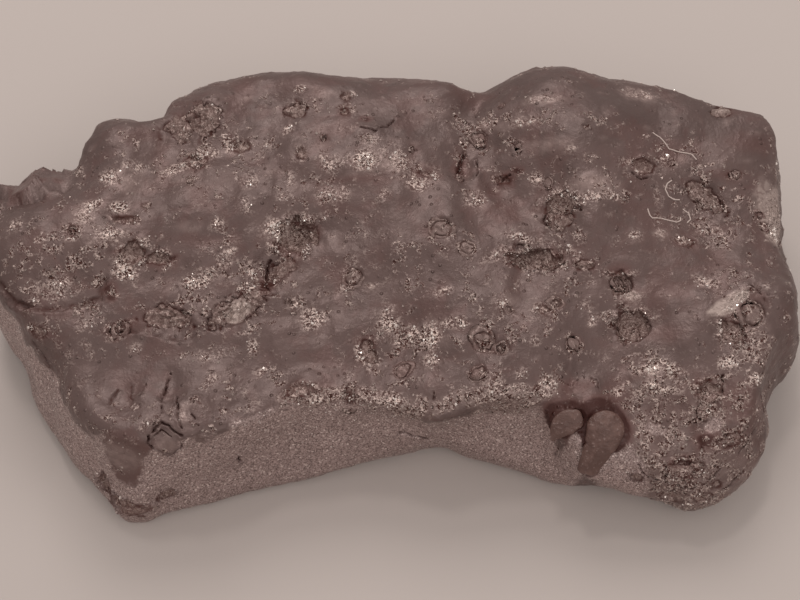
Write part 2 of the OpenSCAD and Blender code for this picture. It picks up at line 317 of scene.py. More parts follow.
FRONT_TEARS = [
    ([(-28.9, 15.3), (-28.3, 14), (-26.6, 13.1), (-25.2, 13.8), (-24.7, 14.9)], 0.1, 0.4),
    ([(-18.6, 8.6), (-18.8, 7.6), (-18.6, 6.9)], 0.2, 0.7),
    ([(1, 8.3), (2.2, 7.9), (3.2, 7.3), (4.7, 6)], 0.2, 0.7),
    ([(40.2, 7.8), (41.2, 8), (42.6, 8.5)], 0.25, 0.7),
    ([(29.6, 11.6), (31, 10.2), (33.4, 9), (36, 8.8), (38, 9.6)], 0.12, 0.3),
]
print(len(TEARS) + len(FRONT_TEARS), "tears,", len(FOLDS), "folds")

# %% [markdown]
# The edge steps in and out along the back, the right side and at two feet of the front. Each
# row is x, y, radius and how far the flank stands out there.

# %% Steps of the flank
FLANK_STEPS = [
    (50.2, 12.6, 3, -0.6), (50.8, 16.8, 2.6, -0.9), (51.4, 8.4, 2, -0.8), (49.3, 2.4, 1.6, -0.9),
    (50, -5.4, 1.4, -1), (46.9, -17.2, 1.8, -1.1), (36.5, -29, 2, 0.5), (-32.2, -29, 2.4, 1.5),
    (49, 21.2, 2.4, -1.6), (51.2, 5.2, 1.3, -0.8), (50.8, -6.8, 1.6, -0.8), (49.6, -14.6, 2.2, -1.2),
    (41.4, 23.4, 2.2, -0.8), (-38.2, 14.2, 1.4, 0.6), (-36.6, 17, 1.6, 0.9), (-30.4, 18, 2, -3.8),
    (-48.4, -9.6, 3, -0.8), (-37.4, -25, 2.6, -0.6), (-27.3, 20.5, 2.4, 1.2), (-22, 23.4, 2.2, 1.1),
    (-2, 26, 4, 0.3), (9.5, 25.5, 1.6, -0.4), (14, 25.5, 2.4, 0.4), (21.4, 25.6, 2.6, -1.1),
    (27.4, 25.2, 2.6, -0.7), (31.5, 24.5, 2, 0.4), (36.2, 24.8, 3, -0.7),
]

# %% [markdown]
# A crust of pale grains follows the rim over the middle of the front, and covers the right
# lobe. Low on the left of the front a patch of old skin shows, where the break met a hollow.
# Its rows give height, not y.

# %% Crust and old skin
CRUST = [
    (-13, -20), (-9, -19.5), (-5.5, -19), (-1.5, -19.4), (2.5, -20.8), (5.5, -20.8), (9, -19.6),
    (13, -19.4), (17, -19.6),
]
CRUST_WIDTH = 1.2
GRANULAR = [
    (43.4, -13.6, 3, 3), (48.4, 5, 1.8, 3.8), (19, -18.6, 2, 1.6),
]
OLD_SKIN = [(-32.2, 11, 2.6, 3.6, 10), (-31.6, 14.2, 3, 2.2, 0), (-32, 4, 2.8, 1.6, 0)]
PAINTED_PALER_PATCH = (-32.4, 12, 3, 2.6, 0)  # of the old skin

# %% [markdown]
# Some spots of the skin are rough with tiny crystals that catch the light like frost, and on
# them glints are painted too. Some are gritty, some are redder, a few are pale, and a few get a
# painted sheen. Each row is x, y, half length, half width, strength and turn in degrees. The
# strength is 1 and the turn 0 where they are left out.

# %% Frost
FROST = [
    (-39.2, 0.2, 1.6, 1.3, 0.9), (-46.5, 1.3, 1.1, 1), (-43, -0.9, 1, 0.8, 0.6),
    (-41, -6.3, 3.6, 1.5, 0.5), (-38, 2, 1.2, 1.6, 0.5), (-37.2, 4.1, 1.5, 0.9), (-34, 4.2, 1.6, 0.9),
    (-35.3, 8.4, 1.5, 1.5), (-32.5, 10.5, 1.8, 0.8, 0.6), (-35, -0.3, 2.6, 1.2, 0.9),
    (-32.7, -4, 1.9, 1.3, 1, -20), (-33.5, -2.6, 1.3, 0.8, 0.8), (-30.6, -0.6, 1, 0.8, 0.7),
    (-26.8, 10.8, 2.6, 1, 1, 25), (-23.4, 12.8, 2, 0.9, 0.8, 20), (-20.7, 14.8, 0.8, 1.8),
    (-18, 8.4, 2, 1, 0.5), (-14.6, 2.2, 1.8, 1.7), (-12.8, 3.6, 1.6, 0.7, 0.7),
    (-7.6, 11, 2.2, 1.2, 0.9), (-3.8, 10.9, 1.7, 1.5, 2), (0.9, 11, 1.4, 1.4, 0.8),
    (3.2, 8.3, 1.7, 1.1, 0.8), (-7.4, 6.8, 2.4, 1, 0.5), (-13.4, 6.6, 1, 1, 0.6),
    (-12.8, 9, 0.7, 1.3, 0.7), (-21.6, 2.2, 1, 0.7, 0.9), (-24.1, -4.4, 2.4, 1.2, 0.9, 25),
    (-20.4, -1.7, 1.5, 0.9, 0.9, 60), (-17.4, -2.8, 1.5, 1, 0.8, -40), (-18, -5.6, 1.6, 0.7, 0.9, 25),
    (-17, -12.8, 0.7, 1.3, 0.7), (-15.9, -16, 1, 0.6, 0.7), (-22.8, -14.2, 1.4, 0.7, 0.5),
    (-9.6, -9.4, 2.2, 1.4, 0.8, 20), (-11.6, -7.2, 1.2, 1, 0.6), (-5.7, -5.3, 1, 0.6, 0.7),
    (-3.8, -13.4, 0.6, 1.8, 1, 20), (-0.4, -9.6, 1.4, 2, 0.9), (0.6, -12, 1, 1.4, 0.7),
    (4.8, -12, 1.2, 1.8, 2), (7.6, -10.8, 1.9, 0.8), (2.6, -11.4, 1, 1.6, 0.8),
    (4.6, -15, 1.2, 1.2, 0.6), (10.5, 6.6, 1.7, 1.2, 0.7), (11.6, 17.8, 1.8, 0.8, 0.7, 20),
    (16.5, 16.6, 2, 0.6, 0.6), (18.2, 9.3, 1.2, 0.8, 0.7), (22.6, 12, 0.8, 0.5, 0.7),
    (24.7, 5.6, 3.4, 0.7, 1.4, 5), (21.4, 6.8, 1.6, 0.9, 0.9), (16.9, 1, 3, 0.5, 0.9, -10),
    (30.3, 0.8, 0.8, 0.8, 0.9), (33.3, 1.6, 0.9, 0.6), (36.3, 1, 1.2, 0.7, 0.9), (40, 2, 2.4, 2, 0.4),
    (38.6, -5, 1.9, 0.7, 0.8, -20), (41.8, -8, 2.6, 0.9, 1, 38), (13.5, -8.6, 0.9, 0.8),
    (17.4, -13.3, 0.8, 0.8, 0.6), (24.6, -10, 0.8, 0.7, 0.8), (29.7, -7, 1.3, 0.9, 0.8),
    (19, -18.6, 1.2, 1.4), (12, -19, 2, 1.4, 0.7), (31.3, -16.2, 1.4, 1), (33.4, -16, 1.6, 0.9, 1, -20),
    (31.8, -18.6, 1.8, 1, 1, -30), (34.3, -18.6, 1, 0.8), (27.3, -18.6, 0.8, 0.8),
    (29.3, -19.2, 0.8, 0.6, 0.9), (40.8, -15.4, 1.5, 1, 0.9), (43.8, -17.5, 1.2, 0.9, 0.8),
    (37.9, -21, 0.8, 0.8), (-5, -19.6, 2, 0.8), (-9.4, -20, 1.8, 0.7, 0.9), (0, -20, 2, 0.8, 0.9),
    (31.6, 22.2, 2, 1.2, 0.6), (18.8, 19.8, 2.6, 0.7, 0.4), (-12, 22.4, 1, 0.6, 0.7),
    (-13.4, 16.4, 0.8, 0.7, 0.9, 30), (-2.7, 14, 1.4, 0.6, 0.5), (48.4, 3, 1.7, 1.3, 1.2),
    (-25.1, -22.6, 0.5, 1.4, 0.5), (-2.6, -5.2, 1, 0.5, 0.7), (6, -6.5, 1.5, 0.5, 0.6, 10),
    (-44, -10.6, 1.2, 0.6, 0.8), (-37.2, -10.6, 1, 0.8, 0.7), (-31, -13, 0.8, 0.7, 0.7),
    (34.6, 11.6, 1.6, 1.4, 0.4),
]

# %% Red stains and grit
RED = [
    (-15.6, -4.6, 1.4, 2.2), (-34.4, -6.6, 1.2, 1.6), (-33.2, -10.8, 2.2, 1.4, 0.7),
    (-33, 2.2, 2.4, 1, 0.6), (8.6, 11.6, 1.2, 2.6, 0.9, 10), (14.4, 9.8, 1.6, 1, 0.8),
    (27, -20, 2.6, 3, 0.6), (22, -18.4, 3, 1.4, 0.6), (12, 8, 3, 2, 0.3), (34.5, 13, 3, 2.4, 0.4),
    (-31.6, -26, 3, 2, 0.2), (28, -3.4, 2, 1, 0.7), (21, 4, 2, 1, 0.5), (46, 15, 4, 2, 0.5),
    (38, -24.4, 2.4, 1.6, 0.9), (41.5, -20.6, 3.6, 3.4, 0.6), (42, 10, 3, 1, 0.5),
    (33.3, -11.7, 2.6, 1.6, 0.5), (31.7, 11.6, 1.6, 1.2, 0.5), (-12, 23, 6, 2, 0.35),
    (14, 4.5, 4, 2.4, 0.35), (34, -20.5, 4.4, 2.6, 0.35), (34.9, -26.2, 2, 0.9, 1, 5),
    (16, 10.6, 1, 0.8), (-3.3, 17.6, 1, 0.9), (4, 25, 3, 2, 0.4), (10, 23, 4, 3, 0.5),
    (-20, 24, 4, 2, 0.4), (30, -8, 3, 3, 0.3), (44, -8, 2, 1.6, 0.5), (-25, 0.4, 7, 1, 0.4, -4),
    (-4, 8.7, 4, 0.7, 0.5), (-10, -19, 4, 1.2, 0.4), (4.4, 9.6, 1.4, 0.9, 0.7),
]
GRIT = [
    (31.5, -17.4, 5, 3.6, 1, -10), (37, -22.6, 4.6, 3.4), (42, -14, 3, 3, 0.8), (34, -27.5, 5, 2.6),
    (42, -22, 3, 4, 0.9), (12, -19, 4.4, 2), (18.6, -18.4, 2, 2, 0.8), (-5, -19.8, 9, 1.6),
    (-40.5, -5, 5, 3.2, 0.8), (-33.5, -2, 3, 3.4, 0.9), (40.4, 1.8, 4, 2.6, 0.8), (48.5, 5, 3, 3.6),
    (2, -12, 5, 4.4, 0.9), (10, -11, 3, 2, 0.6), (-10, -8, 4, 3, 0.6), (22, -16, 3, 1.6, 0.5),
    (21.5, 6, 3, 2, 0.8), (-24, 12, 4, 2, 0.7, 20), (-13, 2.4, 3.6, 2.6, 0.7),
    (-22, -3.4, 5, 2.4, 0.6, 20), (42, -8.4, 3.4, 2.6, 0.7, 20), (28.6, -8, 2.6, 4.4, 0.7),
    (-2, 11, 4, 2, 0.6), (6, -17.6, 4, 1.4, 0.5), (-31, -21.6, 5, 3.6, 0.4), (19, -8, 3, 2, 0.5),
    (35, 12.4, 3, 2.4, 0.5), (-46, -4, 2.6, 4, 0.6), (35, -21, 13, 6, 0.8), (-40, -4, 11, 7, 0.7),
    (-20, -6, 12, 6, 0.7, 20), (4, -12, 10, 4, 0.7), (-23, 12, 10, 5, 0.6, 20), (40, 5, 8, 6, 0.6),
    (18, -2.4, 5, 3, 0.7), (-2, 10, 7, 3, 0.6),
]

# %% Calm, painted sheen and pale spots
CALM = [
    (34, 19.5, 14, 4.4, 1, -8), (15, 23, 10, 3), (-10, 23.5, 15, 3), (33, -2, 4.6, 5.4, 1, 20),
    (3, 4.6, 6.6, 4), (-29, -16.6, 7, 3), (27.6, 2.4, 4.6, 2.6), (15, 5, 3.4, 3), (-9, 1.6, 2.6, 4.2),
    (-11, -13.4, 4, 2.6), (22.4, -10.6, 2.4, 1.8), (2, 16.6, 5, 2.4), (24, 13.6, 6, 2), (-30, 5.4, 3, 2),
    (46, 15, 3, 3.6), (-1.6, -5.6, 3.6, 2), (10.6, 3.6, 2.4, 2.4), (34, -11.6, 4, 2.4),
    (-17.6, 19, 3, 2.6), (-38, 15, 3, 3),
]
PAINTED_SHEEN = [
    (25.4, 7, 4.4, 2.2, 1, 8), (-33, 8, 3, 2.6, 0.7), (-38, 2, 1.6, 2.6, 0.8), (-2, 11, 5, 2, 0.8),
    (20, 12.8, 4, 1.2, 0.6), (10.6, 7, 2, 1.4, 0.25), (31.8, 22, 2.6, 1.6), (18.8, 19.6, 3.4, 0.9, 0.8),
    (41.8, -8, 3, 1.4, 1, 38), (-24.8, -22.4, 0.9, 1.9, 1, 4), (-15, 2, 2, 2, 0.7),
    (31.4, -17, 3, 2.2, 0.8), (-26, 9.6, 3, 2, 0.4, 20), (33.3, 1.6, 1.2, 0.9, 0.9),
    (14, -8, 1.6, 1, 0.6), (-7.4, 6.8, 3, 1.2, 0.5), (-26.8, -25.2, 2, 1.6, 0.8),
    (15.6, 16.8, 4, 0.9, 0.6, 4), (-34.8, -0.2, 3, 1.6, 0.7), (-9, 22, 2.4, 1, 0.5),
    (-21, -7.4, 3, 0.7, 0.8, 25), (-25, 1.9, 2.6, 0.8, 0.5), (4.8, -12, 2, 3, 0.8),
    (29.4, -7.2, 1.8, 1.3, 0.7), (11.8, 17.8, 2, 0.8, 0.7, 30),
]
BLEACHED = [
    (-18.8, -8.1, 1.7, 1.2, 1, 50), (48.8, 6.2, 2, 3.4, 0.7), (48.6, 3, 1.8, 1.6),
    (42.6, 20.3, 1.2, 0.9, 0.6), (29.6, -6.8, 1, 0.5, 0.5), (47.8, 5.8, 2.2, 4, 0.6, 10),
    (40.4, -8.8, 1.7, 0.9, 1, 15), (42.3, -7.4, 1.4, 0.8, 1, 25),
]
print(len(FROST), "spots of frost,", len(RED), "red stains,", len(GRIT), "gritty spots")

# %% [markdown]
# ## Finer faces where the fine features are
# Faces of half a millimetre can't hold a crack of a sixth. Dividing every face would cost far
# too many, so only the faces near a feature are divided, and those on it once more.

# %% Drop the features on the surface
places = {"crater": [], "slag": []}


def add_places(kind, rows, find):
    for x, second, half_x, half_y, turn in rows:
        point, normal = find(x, second)
        places[kind].append((point, normal, half_x, half_y, math.radians(turn)))


add_places("crater", CRATERS, on_skin)
add_places("crater", FRONT_CRATERS, on_front)
add_places("slag", SLAG, on_skin)


def dropped(rows, find):
    return [([find(*spot)[0] for spot in route], width, depth) for route, width, depth in rows]


TEAR_WIDTH_SHARE = 0.75  # of the width that its row gives
tears = dropped(TEARS, on_skin) + dropped(FRONT_TEARS, on_front)
tears = [(route, TEAR_WIDTH_SHARE * width, depth) for route, width, depth in tears]
folds = dropped(FOLDS, on_skin)


# %% Measure ovals and random heights
def local_plan(points, place):
    """Distance of the points from an oval place, 1 on its rim, and their places on its axes in mm."""
    centre, normal, half_x, half_y, turn = place
    along = np.array((math.cos(turn), math.sin(turn), 0))
    along -= normal * (along @ normal)
    along /= np.linalg.norm(along)
    across = np.cross(normal, along)
    away = points - centre
    a, b = away @ along, away @ across
    distance = np.hypot(a / half_x, b / half_y)
    distance[np.abs(away @ normal) > 1.6 * max(half_x, half_y)] = 99
    return distance, a, b


def ramp(value, start, end):
    """0 at start, 1 at end, smooth between."""
    t = np.clip((value - start) / (end - start), 0, 1)
    return t * t * (3 - 2 * t)


def ripples(places, size, octaves=1, shift=0.0):
    """Random heights at the places that change over size mm, from about -1 to 1."""
    offset = Vector((shift, 0.7 * shift, 1.3 * shift))
    return np.array([noise.fractal(Vector(place) / size + offset, 1.0, 2.0, octaves) for place in places])


def wandering(points):
    """The points moved a little at random. Routes measured from them wander."""
    return points + 0.22 * np.column_stack([ripples(points, 1.0, 2, shift) for shift in (1.3, 9.7, 17.9)])


# %% Measure routes
def route_distance(points, route):
    """Distance in mm from the points to a route, and which side they are on, 1 for its left."""
    nearest = np.full(len(points), 99.0)
    side = np.ones(len(points))
    for start, end in zip(route, route[1:]):
        along = end - start
        away = points - start
        part = np.clip(away @ along / (along @ along), 0, 1)
        distance = np.linalg.norm(away - part[:, None] * along, axis=1)
        closer = distance < nearest
        nearest = np.where(closer, distance, nearest)
        turn = along[0] * away[:, 1] - along[1] * away[:, 0]
        side = np.where(closer, np.sign(turn), side)
    return nearest, side


# %% The two drops
# Metal that ran through the lip last: centres, and the radius at each centre.
DRIP = (
    [(25.6, -23.3, 14.2), (25, -24.8, 13.2), (24.2, -26, 11.7), (23.7, -26.8, 10.4)],
    [2.3, 1.95, 1.5, 1.35],
)
BEAD = (
    [(19.4, -23.9, 13), (20.1, -23.1, 13.7), (20.9, -22.5, 14.2), (22.1, -22.1, 14.5)],
    [0.4, 1.2, 1.5, 1.2],
)
SKIN_HEIGHT = 8  # the skin lies above this height


def drop_gap(points, drop):
    """Distance in mm of the points from a drop's side, below 0 inside it."""
    centres, radii = np.array(drop[0]), np.array(drop[1])
    gap = np.full(len(points), 99.0)
    for i in range(len(centres) - 1):
        along = centres[i + 1] - centres[i]
        part = np.clip((points - centres[i]) @ along / (along @ along), 0, 1)
        radius = radii[i] + part * (radii[i + 1] - radii[i])
        gap = np.minimum(gap, np.linalg.norm(points - centres[i] - part[:, None] * along, axis=1) - radius)
    return gap


def near_drops(points, margin):
    return (drop_gap(points, DRIP) < margin) | (drop_gap(points, BEAD) < margin)


# %% Choose the points near features
def close_to(points, place, reach):
    """Indexes of the points within reach times an oval place's size, their ragged distance and plan."""
    close = np.flatnonzero(np.linalg.norm(points - place[0], axis=1) < 1.2 * reach * max(place[2], place[3]))
    distance, a, b = local_plan(points[close], place)
    return close, distance * (1 + 0.4 * ripples(points[close], 1.3, 3, 3.1)), a, b


def skin_spot(points, x, y, half_x, half_y, strength=1, turn=0):
    """Strength of an oval spot on the skin, and the distance of the points from it, 1 on its rim."""
    return strength, local_plan(points, (*on_skin(x, y), half_x, half_y, math.radians(turn)))[0]


def near_spots(points, rows, reach):
    return np.any([skin_spot(points, *row)[1] < reach for row in rows], axis=0)


def near_blisters(points, reach):
    """True for the points within reach times the radius of a blister."""
    x, y, z = points.T
    close = [np.hypot(x - at_x, y - at_y) < reach * radius for at_x, at_y, radius in BUTTONS + CUPS]
    return np.any(close, axis=0) & (z > SKIN_HEIGHT)


def near_routes(points, routes, margin):
    close = [route_distance(points, route)[0] < width + margin for route, width, _ in routes]
    return np.any(close, axis=0)


def near_ovals(points, kinds, nearest, furthest):
    """True for the points whose ragged distance from an oval place is between the two."""
    chosen = np.zeros(len(points), bool)
    for kind in kinds:
        for place in places[kind]:
            close, distance, _, _ = close_to(points, place, furthest)
            chosen[close[(distance > nearest) & (distance < furthest)]] = True
    return chosen


# %% Divide the faces
def divide(shape, wanted):
    """Divides the faces of shape whose centres wanted chooses."""
    centres = np.array([face.calc_center_median() for face in shape.faces]) / MM
    edges = {edge for face, take in zip(shape.faces, wanted(centres)) if take for edge in face.edges}
    bmesh.ops.subdivide_edges(shape, edges=list(edges), cuts=1, use_grid_fill=True, smooth=0.0)


def first_pass(points):
    return (near_ovals(points, ("crater", "slag"), 0, 1.25) | near_routes(points, tears + folds, 0.5)
            | near_spots(points, GRIT[:20], 0.6) | near_drops(points, 0.9) | near_blisters(points, 1.5))


def second_pass(points):
    return (near_ovals(points, ("crater", "slag"), 0, 1.04) | near_routes(wandering(points), tears, 0.1)
            | near_drops(points, 0.6))


def third_pass(points):
    return near_ovals(points, ("slag",), 0.97, 1.06) | near_routes(wandering(points), tears, 0.0)


def refine_body():
    shape = bmesh.new()
    shape.from_mesh(lump.data)
    for wanted in (first_pass, second_pass, third_pass):
        divide(shape, wanted)
        print("divided to", len(shape.faces), "faces")
    low_faces = [face for face in shape.faces if face.calc_center_median().z < 0.03 * MM]
    flat = [face for face in low_faces if face.normal.z < -0.99]
    bmesh.ops.dissolve_faces(shape, faces=flat)
    shape.to_mesh(lump.data)
    shape.free()


refine_body()
lump.data.calc_loop_triangles()
print("the body has", len(lump.data.loop_triangles), "triangles")

# %% [markdown]
# ## Sculpting the relief
# The body's points go into one array. Every feature adds a height along the normal, and
# marks the points that it darkens, roughens or brightens. The points move once, at the end.

# %% Arrays of points and masks
# crevice is painted shade in cracks, grooves, rims and moats; sheen is a pale tone and painted sheen.
MASKS = ("crevice_shade", "rubble", "broken", "frost", "red", "grit", "pale", "hollow", "pale_and_painted_sheen", "hush")


def vectors(mesh, name):
    values = np.empty(3 * len(mesh.vertices))
    mesh.vertices.foreach_get(name, values)
    return values.reshape(-1, 3)


points = vectors(lump.data, "co") / MM
normals = vectors(lump.data, "normal")
count = len(points)
relief = np.zeros(count)
masks = {name: np.zeros(count) for name in MASKS}


def facets(places, size, shift=0.0):
    """Heights of small flat facets, each tilted its own way, about size mm across."""
    offset = Vector((shift, shift, shift))
    heights = np.empty(len(places))
    for i, place in enumerate(places):
        spot = Vector(place) / size + offset
        middle = noise.voronoi(spot)[1][0]
        tilt = noise.cell_vector(middle * 7.3) - Vector((0.5, 0.5, 0.5))
        heights[i] = (spot - middle).dot(tilt)
    return heights * size


def mark(name, values, where=slice(None)):
    """Raises a mask to the values, everywhere or at the points where."""
    masks[name][where] = np.maximum(masks[name][where], values)


def bell(x):
    """1 at 0, and next to nothing beyond 2 on either side."""
    return np.exp(-x ** 2)


def patches(places, size, shift, start, end, octaves=1):
    """Random patches about size mm across, 0 where the heights are at start and 1 at end."""
    return ramp(ripples(places, size, octaves, shift), start, end)


def stones(places, size):
    """Heights of round stones about size mm across, from 0 to 1, and a mask of the gaps between them."""
    heights, gaps = np.empty(len(places)), np.empty(len(places))
    for i, place in enumerate(places):
        distances, middles = noise.voronoi(Vector(place) / size)
        gaps[i] = distances[1] - distances[0]
        heights[i] = 0.3 + 0.7 * noise.cell(middles[0] * 7.3)
    return heights * ramp(gaps, 0, 0.4), ramp(gaps, 0.13, 0.02)


# %% Craters
def stamp_crater(place):
    close, d, _, _ = close_to(points, place, 1.7)
    here = points[close]
    r = min(place[2], place[3])
    inside = ramp(d, 1.02, 0.8)
    rocks, gaps = stones(here, 1.0)
    shade = patches(here, 1.8, 14.1, -0.3, 0.2)
    wall = inside * np.maximum(bell((d - 0.85) / 0.2), 0.7 * patches(here, 1.6, 23.1, 0.1, 0.35))
    grit = ripples(here, 0.4, 2, 6.7)
    relief[close] += wall * 0.65 * rocks + inside * (0.08 * grit - 0.2 - 0.08 * r)
    relief[close] += 0.3 * r * bell((d - 1.12) / 0.13) * (1.2 - shade)
    # Painted shade along the rim and in the gaps between the stones.
    rim = 0.95 * bell((d - 0.95) * r / 0.1) * (0.45 + 0.55 * shade)
    mark("crevice_shade", np.maximum(rim, 0.7 * wall * gaps * shade), close)
    mark("rubble", inside, close)
    mark("red", 0.6 * bell((d - 1.0) * r / 0.5) * patches(here, 4, 85.0, -0.1, 0.25), close)
    mark("grit", 0.9 * bell((d - 1.2) / 0.25), close)
    mark("frost", (0.8 * bell((d - 1.15) / 0.2) + 0.6 * wall * ramp(rocks, 0.4, 0.7)) * (1 - shade), close)


for place in places["crater"]:
    stamp_crater(place)


# %% Slag patches
def stamp_slag(place):
    """A crumpled patch, with wrinkles along it and a crack round it."""
    close, d, a, b = close_to(points, place, 1.5)
    here = points[close]
    r = math.sqrt(place[2] * place[3])
    inside = ramp(d, 1.0, 0.93)
    bent = b + 0.5 * ripples(here, 1.1, 1, 2.2)
    sheet = np.column_stack((a / 2.2, bent, np.full(len(a), place[0][0])))
    wrinkles = np.abs(ripples(sheet, 0.9, 2))
    grit = ripples(here, 0.4, 2, 6.1)
    crack = bell((d - 1.02) * r / 0.085) * patches(here, 2.2, 17.3, -0.5, -0.1)
    shape = 0.8 * np.minimum(wrinkles, 0.45) + 0.14 * grit + 0.15 * r * ramp(d, 1.0, 0.2) - 0.25
    relief[close] += inside * shape - 0.25 * crack
    # Painted shade in the crack round the patch and between the wrinkles.
    mark("crevice_shade", np.maximum(crack, 0.4 * inside * ramp(wrinkles, 0.10, 0.02)), close)
    mark("rubble", 0.7 * inside, close)
    mark("red", 0.5 * bell((d - 1.05) * r / 0.4) * patches(here, 4, 83.0, 0.0, 0.3), close)
    mark("frost", 0.45 * inside * ramp(wrinkles, 0.3, 0.5), close)


for place in places["slag"]:
    stamp_slag(place)


# %% Beds of the blisters
def stamp_bed(x, y, radius):
    """A hollow that the separate button or cup fills."""
    point, normal = on_skin(x, y)
    close = np.flatnonzero(np.linalg.norm(points - point, axis=1) < 2 * radius)
    d = local_plan(points[close], (point, normal, radius, radius, 0))[0]
    relief[close] -= 0.65 * radius * ramp(d, 1.25, 0.9)
    # Painted shade round the edge of the bed.
    mark("crevice_shade", 0.7 * ramp(d, 1.2, 1.1), close)
    mark("red", 0.45 * ramp(d, 1.7, 1.2) * patches(points[close], 5, 81.0, 0.0, 0.25), close)


for row in BUTTONS + CUPS:
    stamp_bed(*row)

# %% Tears and folds
wander = 0.17 * ripples(points, 0.9, 3, 1.3)
wandered = wandering(points)
for route, width, depth in tears:
    d = route_distance(wandered, route)[0]
    groove = bell(d / width)
    relief += 0.25 * depth * bell((d - 2.5 * width) / (1.5 * width)) - depth * groove
    # Painted shade in the groove.
    mark("crevice_shade", groove * ramp(wander, -0.14, 0.02))

for route, width, height in folds:
    d, side = route_distance(points, route)
    signed = d * side + 2 * wander
    relief += np.where(signed > 0, height * np.exp(-signed / 1.4) * ramp(signed, 0, 0.35), 0)
    groove = bell((signed + 0.5 * width) / width) * ramp(d, 1.5, 0.5)
    relief -= 0.4 * height * groove
    # Painted shade in the groove under the fold.
    mark("crevice_shade", 0.7 * groove * ramp(wander, -0.12, 0.02))

# %% Beds of the drip and the bead
x, y, z = points.T
for drop, moat in ((DRIP, 0.6), (BEAD, 0.2)):
    gap = drop_gap(points, drop)
    relief -= (0.25 * ramp(gap, moat, -0.2) + 2.2 * ramp(gap, -0.2, -0.7)) * (gap < 2) * ramp(z, 8, 10)
    # Painted shade in the moat round the drop.
    mark("crevice_shade", 0.7 * ramp(gap, 0.2, 0.0) * ramp(z, 8.5, 9.5))
    shade = np.minimum(gap, drop_gap(points + (0.8, -0.8, 0), drop))
    halo = ramp(shade + 0.5 * wander, moat + 1.3, moat - 0.2) * ramp(z, 10, 11.5)
    mark("red", halo)
    mark("hush", halo)

# %% [markdown]
# ## Skin and break
# The front and the left end broke away from the rest of the casting. The line between skin
# and break is the rim of the skin in plan: what lies in front of it is break. On the right
# lobe the skin ran down over the front, and the break shows in patches.

# %% Mark the broken faces
RIM = [
    (-54, -6), (-49, -7.2), (-44.8, -11.3), (-42.6, -13.6), (-41.4, -15.4), (-42.4, -16.4), (-39, -21.6),
    (-36, -24.2), (-33.5, -24.5), (-31.5, -25), (-30, -25.6), (-27, -26), (-24.6, -25.2), (-22, -24.7),
    (-20, -24), (-18.4, -22.8), (-15.5, -21.4), (-12.4, -20.6), (-9, -20.2), (-5.6, -19.9),
    (-1.5, -20.2), (1.4, -20.9), (4.8, -22.6), (7.2, -22), (10.6, -20.5), (14.5, -20.2), (18.2, -20.6),
    (19.2, -23.4), (20.8, -24.2), (22.2, -23.4), (22.8, -24.2), (23.2, -27), (24.8, -27), (26.6, -25.6),
    (28.6, -24.8), (30, -26.4), (32, -29.4), (54, -30),
]
UNDERCUT_HEIGHT = 12.2  # where the front leans back under the lip, it is break below this
LIP_HEIGHT = 11  # the lip of the skin lies above this
BREAK_PATCHES = [(38.6, -22.6, 1.2, 0.9, 20), (31.8, -22.8, 1.1, 0.8, -20)]
BROKEN_END = ((-54, -44.5, -41.4, -39.8, -38.8), (5.4, 5.4, 6.8, 9.2, 13))


def ahead_of_rim(x, y):
    """How far in mm the plan places lie in front of the rim line."""
    rim_x, rim_y = np.array(RIM).T
    return np.interp(x, rim_x, rim_y) - y


def oval_distance(find, x, second, half_x, half_y, turn):
    """Distance of the body's points from an oval patch, 1 on its rim."""
    return local_plan(points, (*find(x, second), half_x, half_y, math.radians(turn)))[0]


ragged = ripples(points, 1.6, 3, 5.0)
front_break = ramp(ahead_of_rim(x, y) + 0.35 * ragged, -0.12, 0.12)
undercut = (x < 20) & (y < -14) & (normals[:, 1] < -0.3)
undercut = undercut * ramp(z + 0.5 * ragged, UNDERCUT_HEIGHT + 0.2, UNDERCUT_HEIGHT)
front_break = np.maximum(front_break, undercut)
left_break = ramp(-x, 45.5, 46.5) * ramp(-normals[:, 0], 0.45, 0.65) * ramp(z + ragged, 15.5, 14.5)
end_depth = y - np.interp(x, *BROKEN_END) + 0.5 * ragged
end_break = ramp(end_depth, -0.1, 0.15) * ramp(-x, 40, 41.6)
masks["broken"] = np.maximum.reduce([front_break, left_break, end_break])
for row in BREAK_PATCHES:
    mark("broken", ramp(oval_distance(on_skin, *row) + 0.25 * ragged, 1.0, 0.85))
for row in OLD_SKIN:
    patch = ramp(oval_distance(on_front, *row) + 0.3 * ragged, 1.05, 0.9)
    masks["broken"] *= 1 - patch
    mark("red", 0.45 * patch)
masks["broken"] *= 1 - masks["rubble"]
underside = (z < 0.3) & (normals[:, 2] < -0.5)
print("broken share of the points:", round(float(masks["broken"].mean()), 2))

# %% [markdown]
# Random relief comes last: swells and small puckers on the skin, and low facets on the break.
# The far left end broke away in coarse steps. Features stay crisp, because the random relief
# fades out on them.

# %% Random relief
clear = 1 - np.maximum(masks["rubble"], masks["crevice_shade"])
skin_side = 1 - masks["broken"]
swells = ripples(points, 5.5, 2, 11.0)
puckers = np.abs(ripples(points, 3.0, 3, 7.0))
dimples = ripples(points, 1.2, 2, 9.0)
rough_skin = skin_side * patches(points, 4.5, 51.0, -0.15, 0.45, 2)
relief += clear * skin_side * (0.12 * swells + 0.25 * (puckers - 0.25) + (0.06 + 0.1 * rough_skin) * dimples)
relief += masks["broken"] * (0.12 * swells + 0.08 * ragged + 0.05 * dimples)
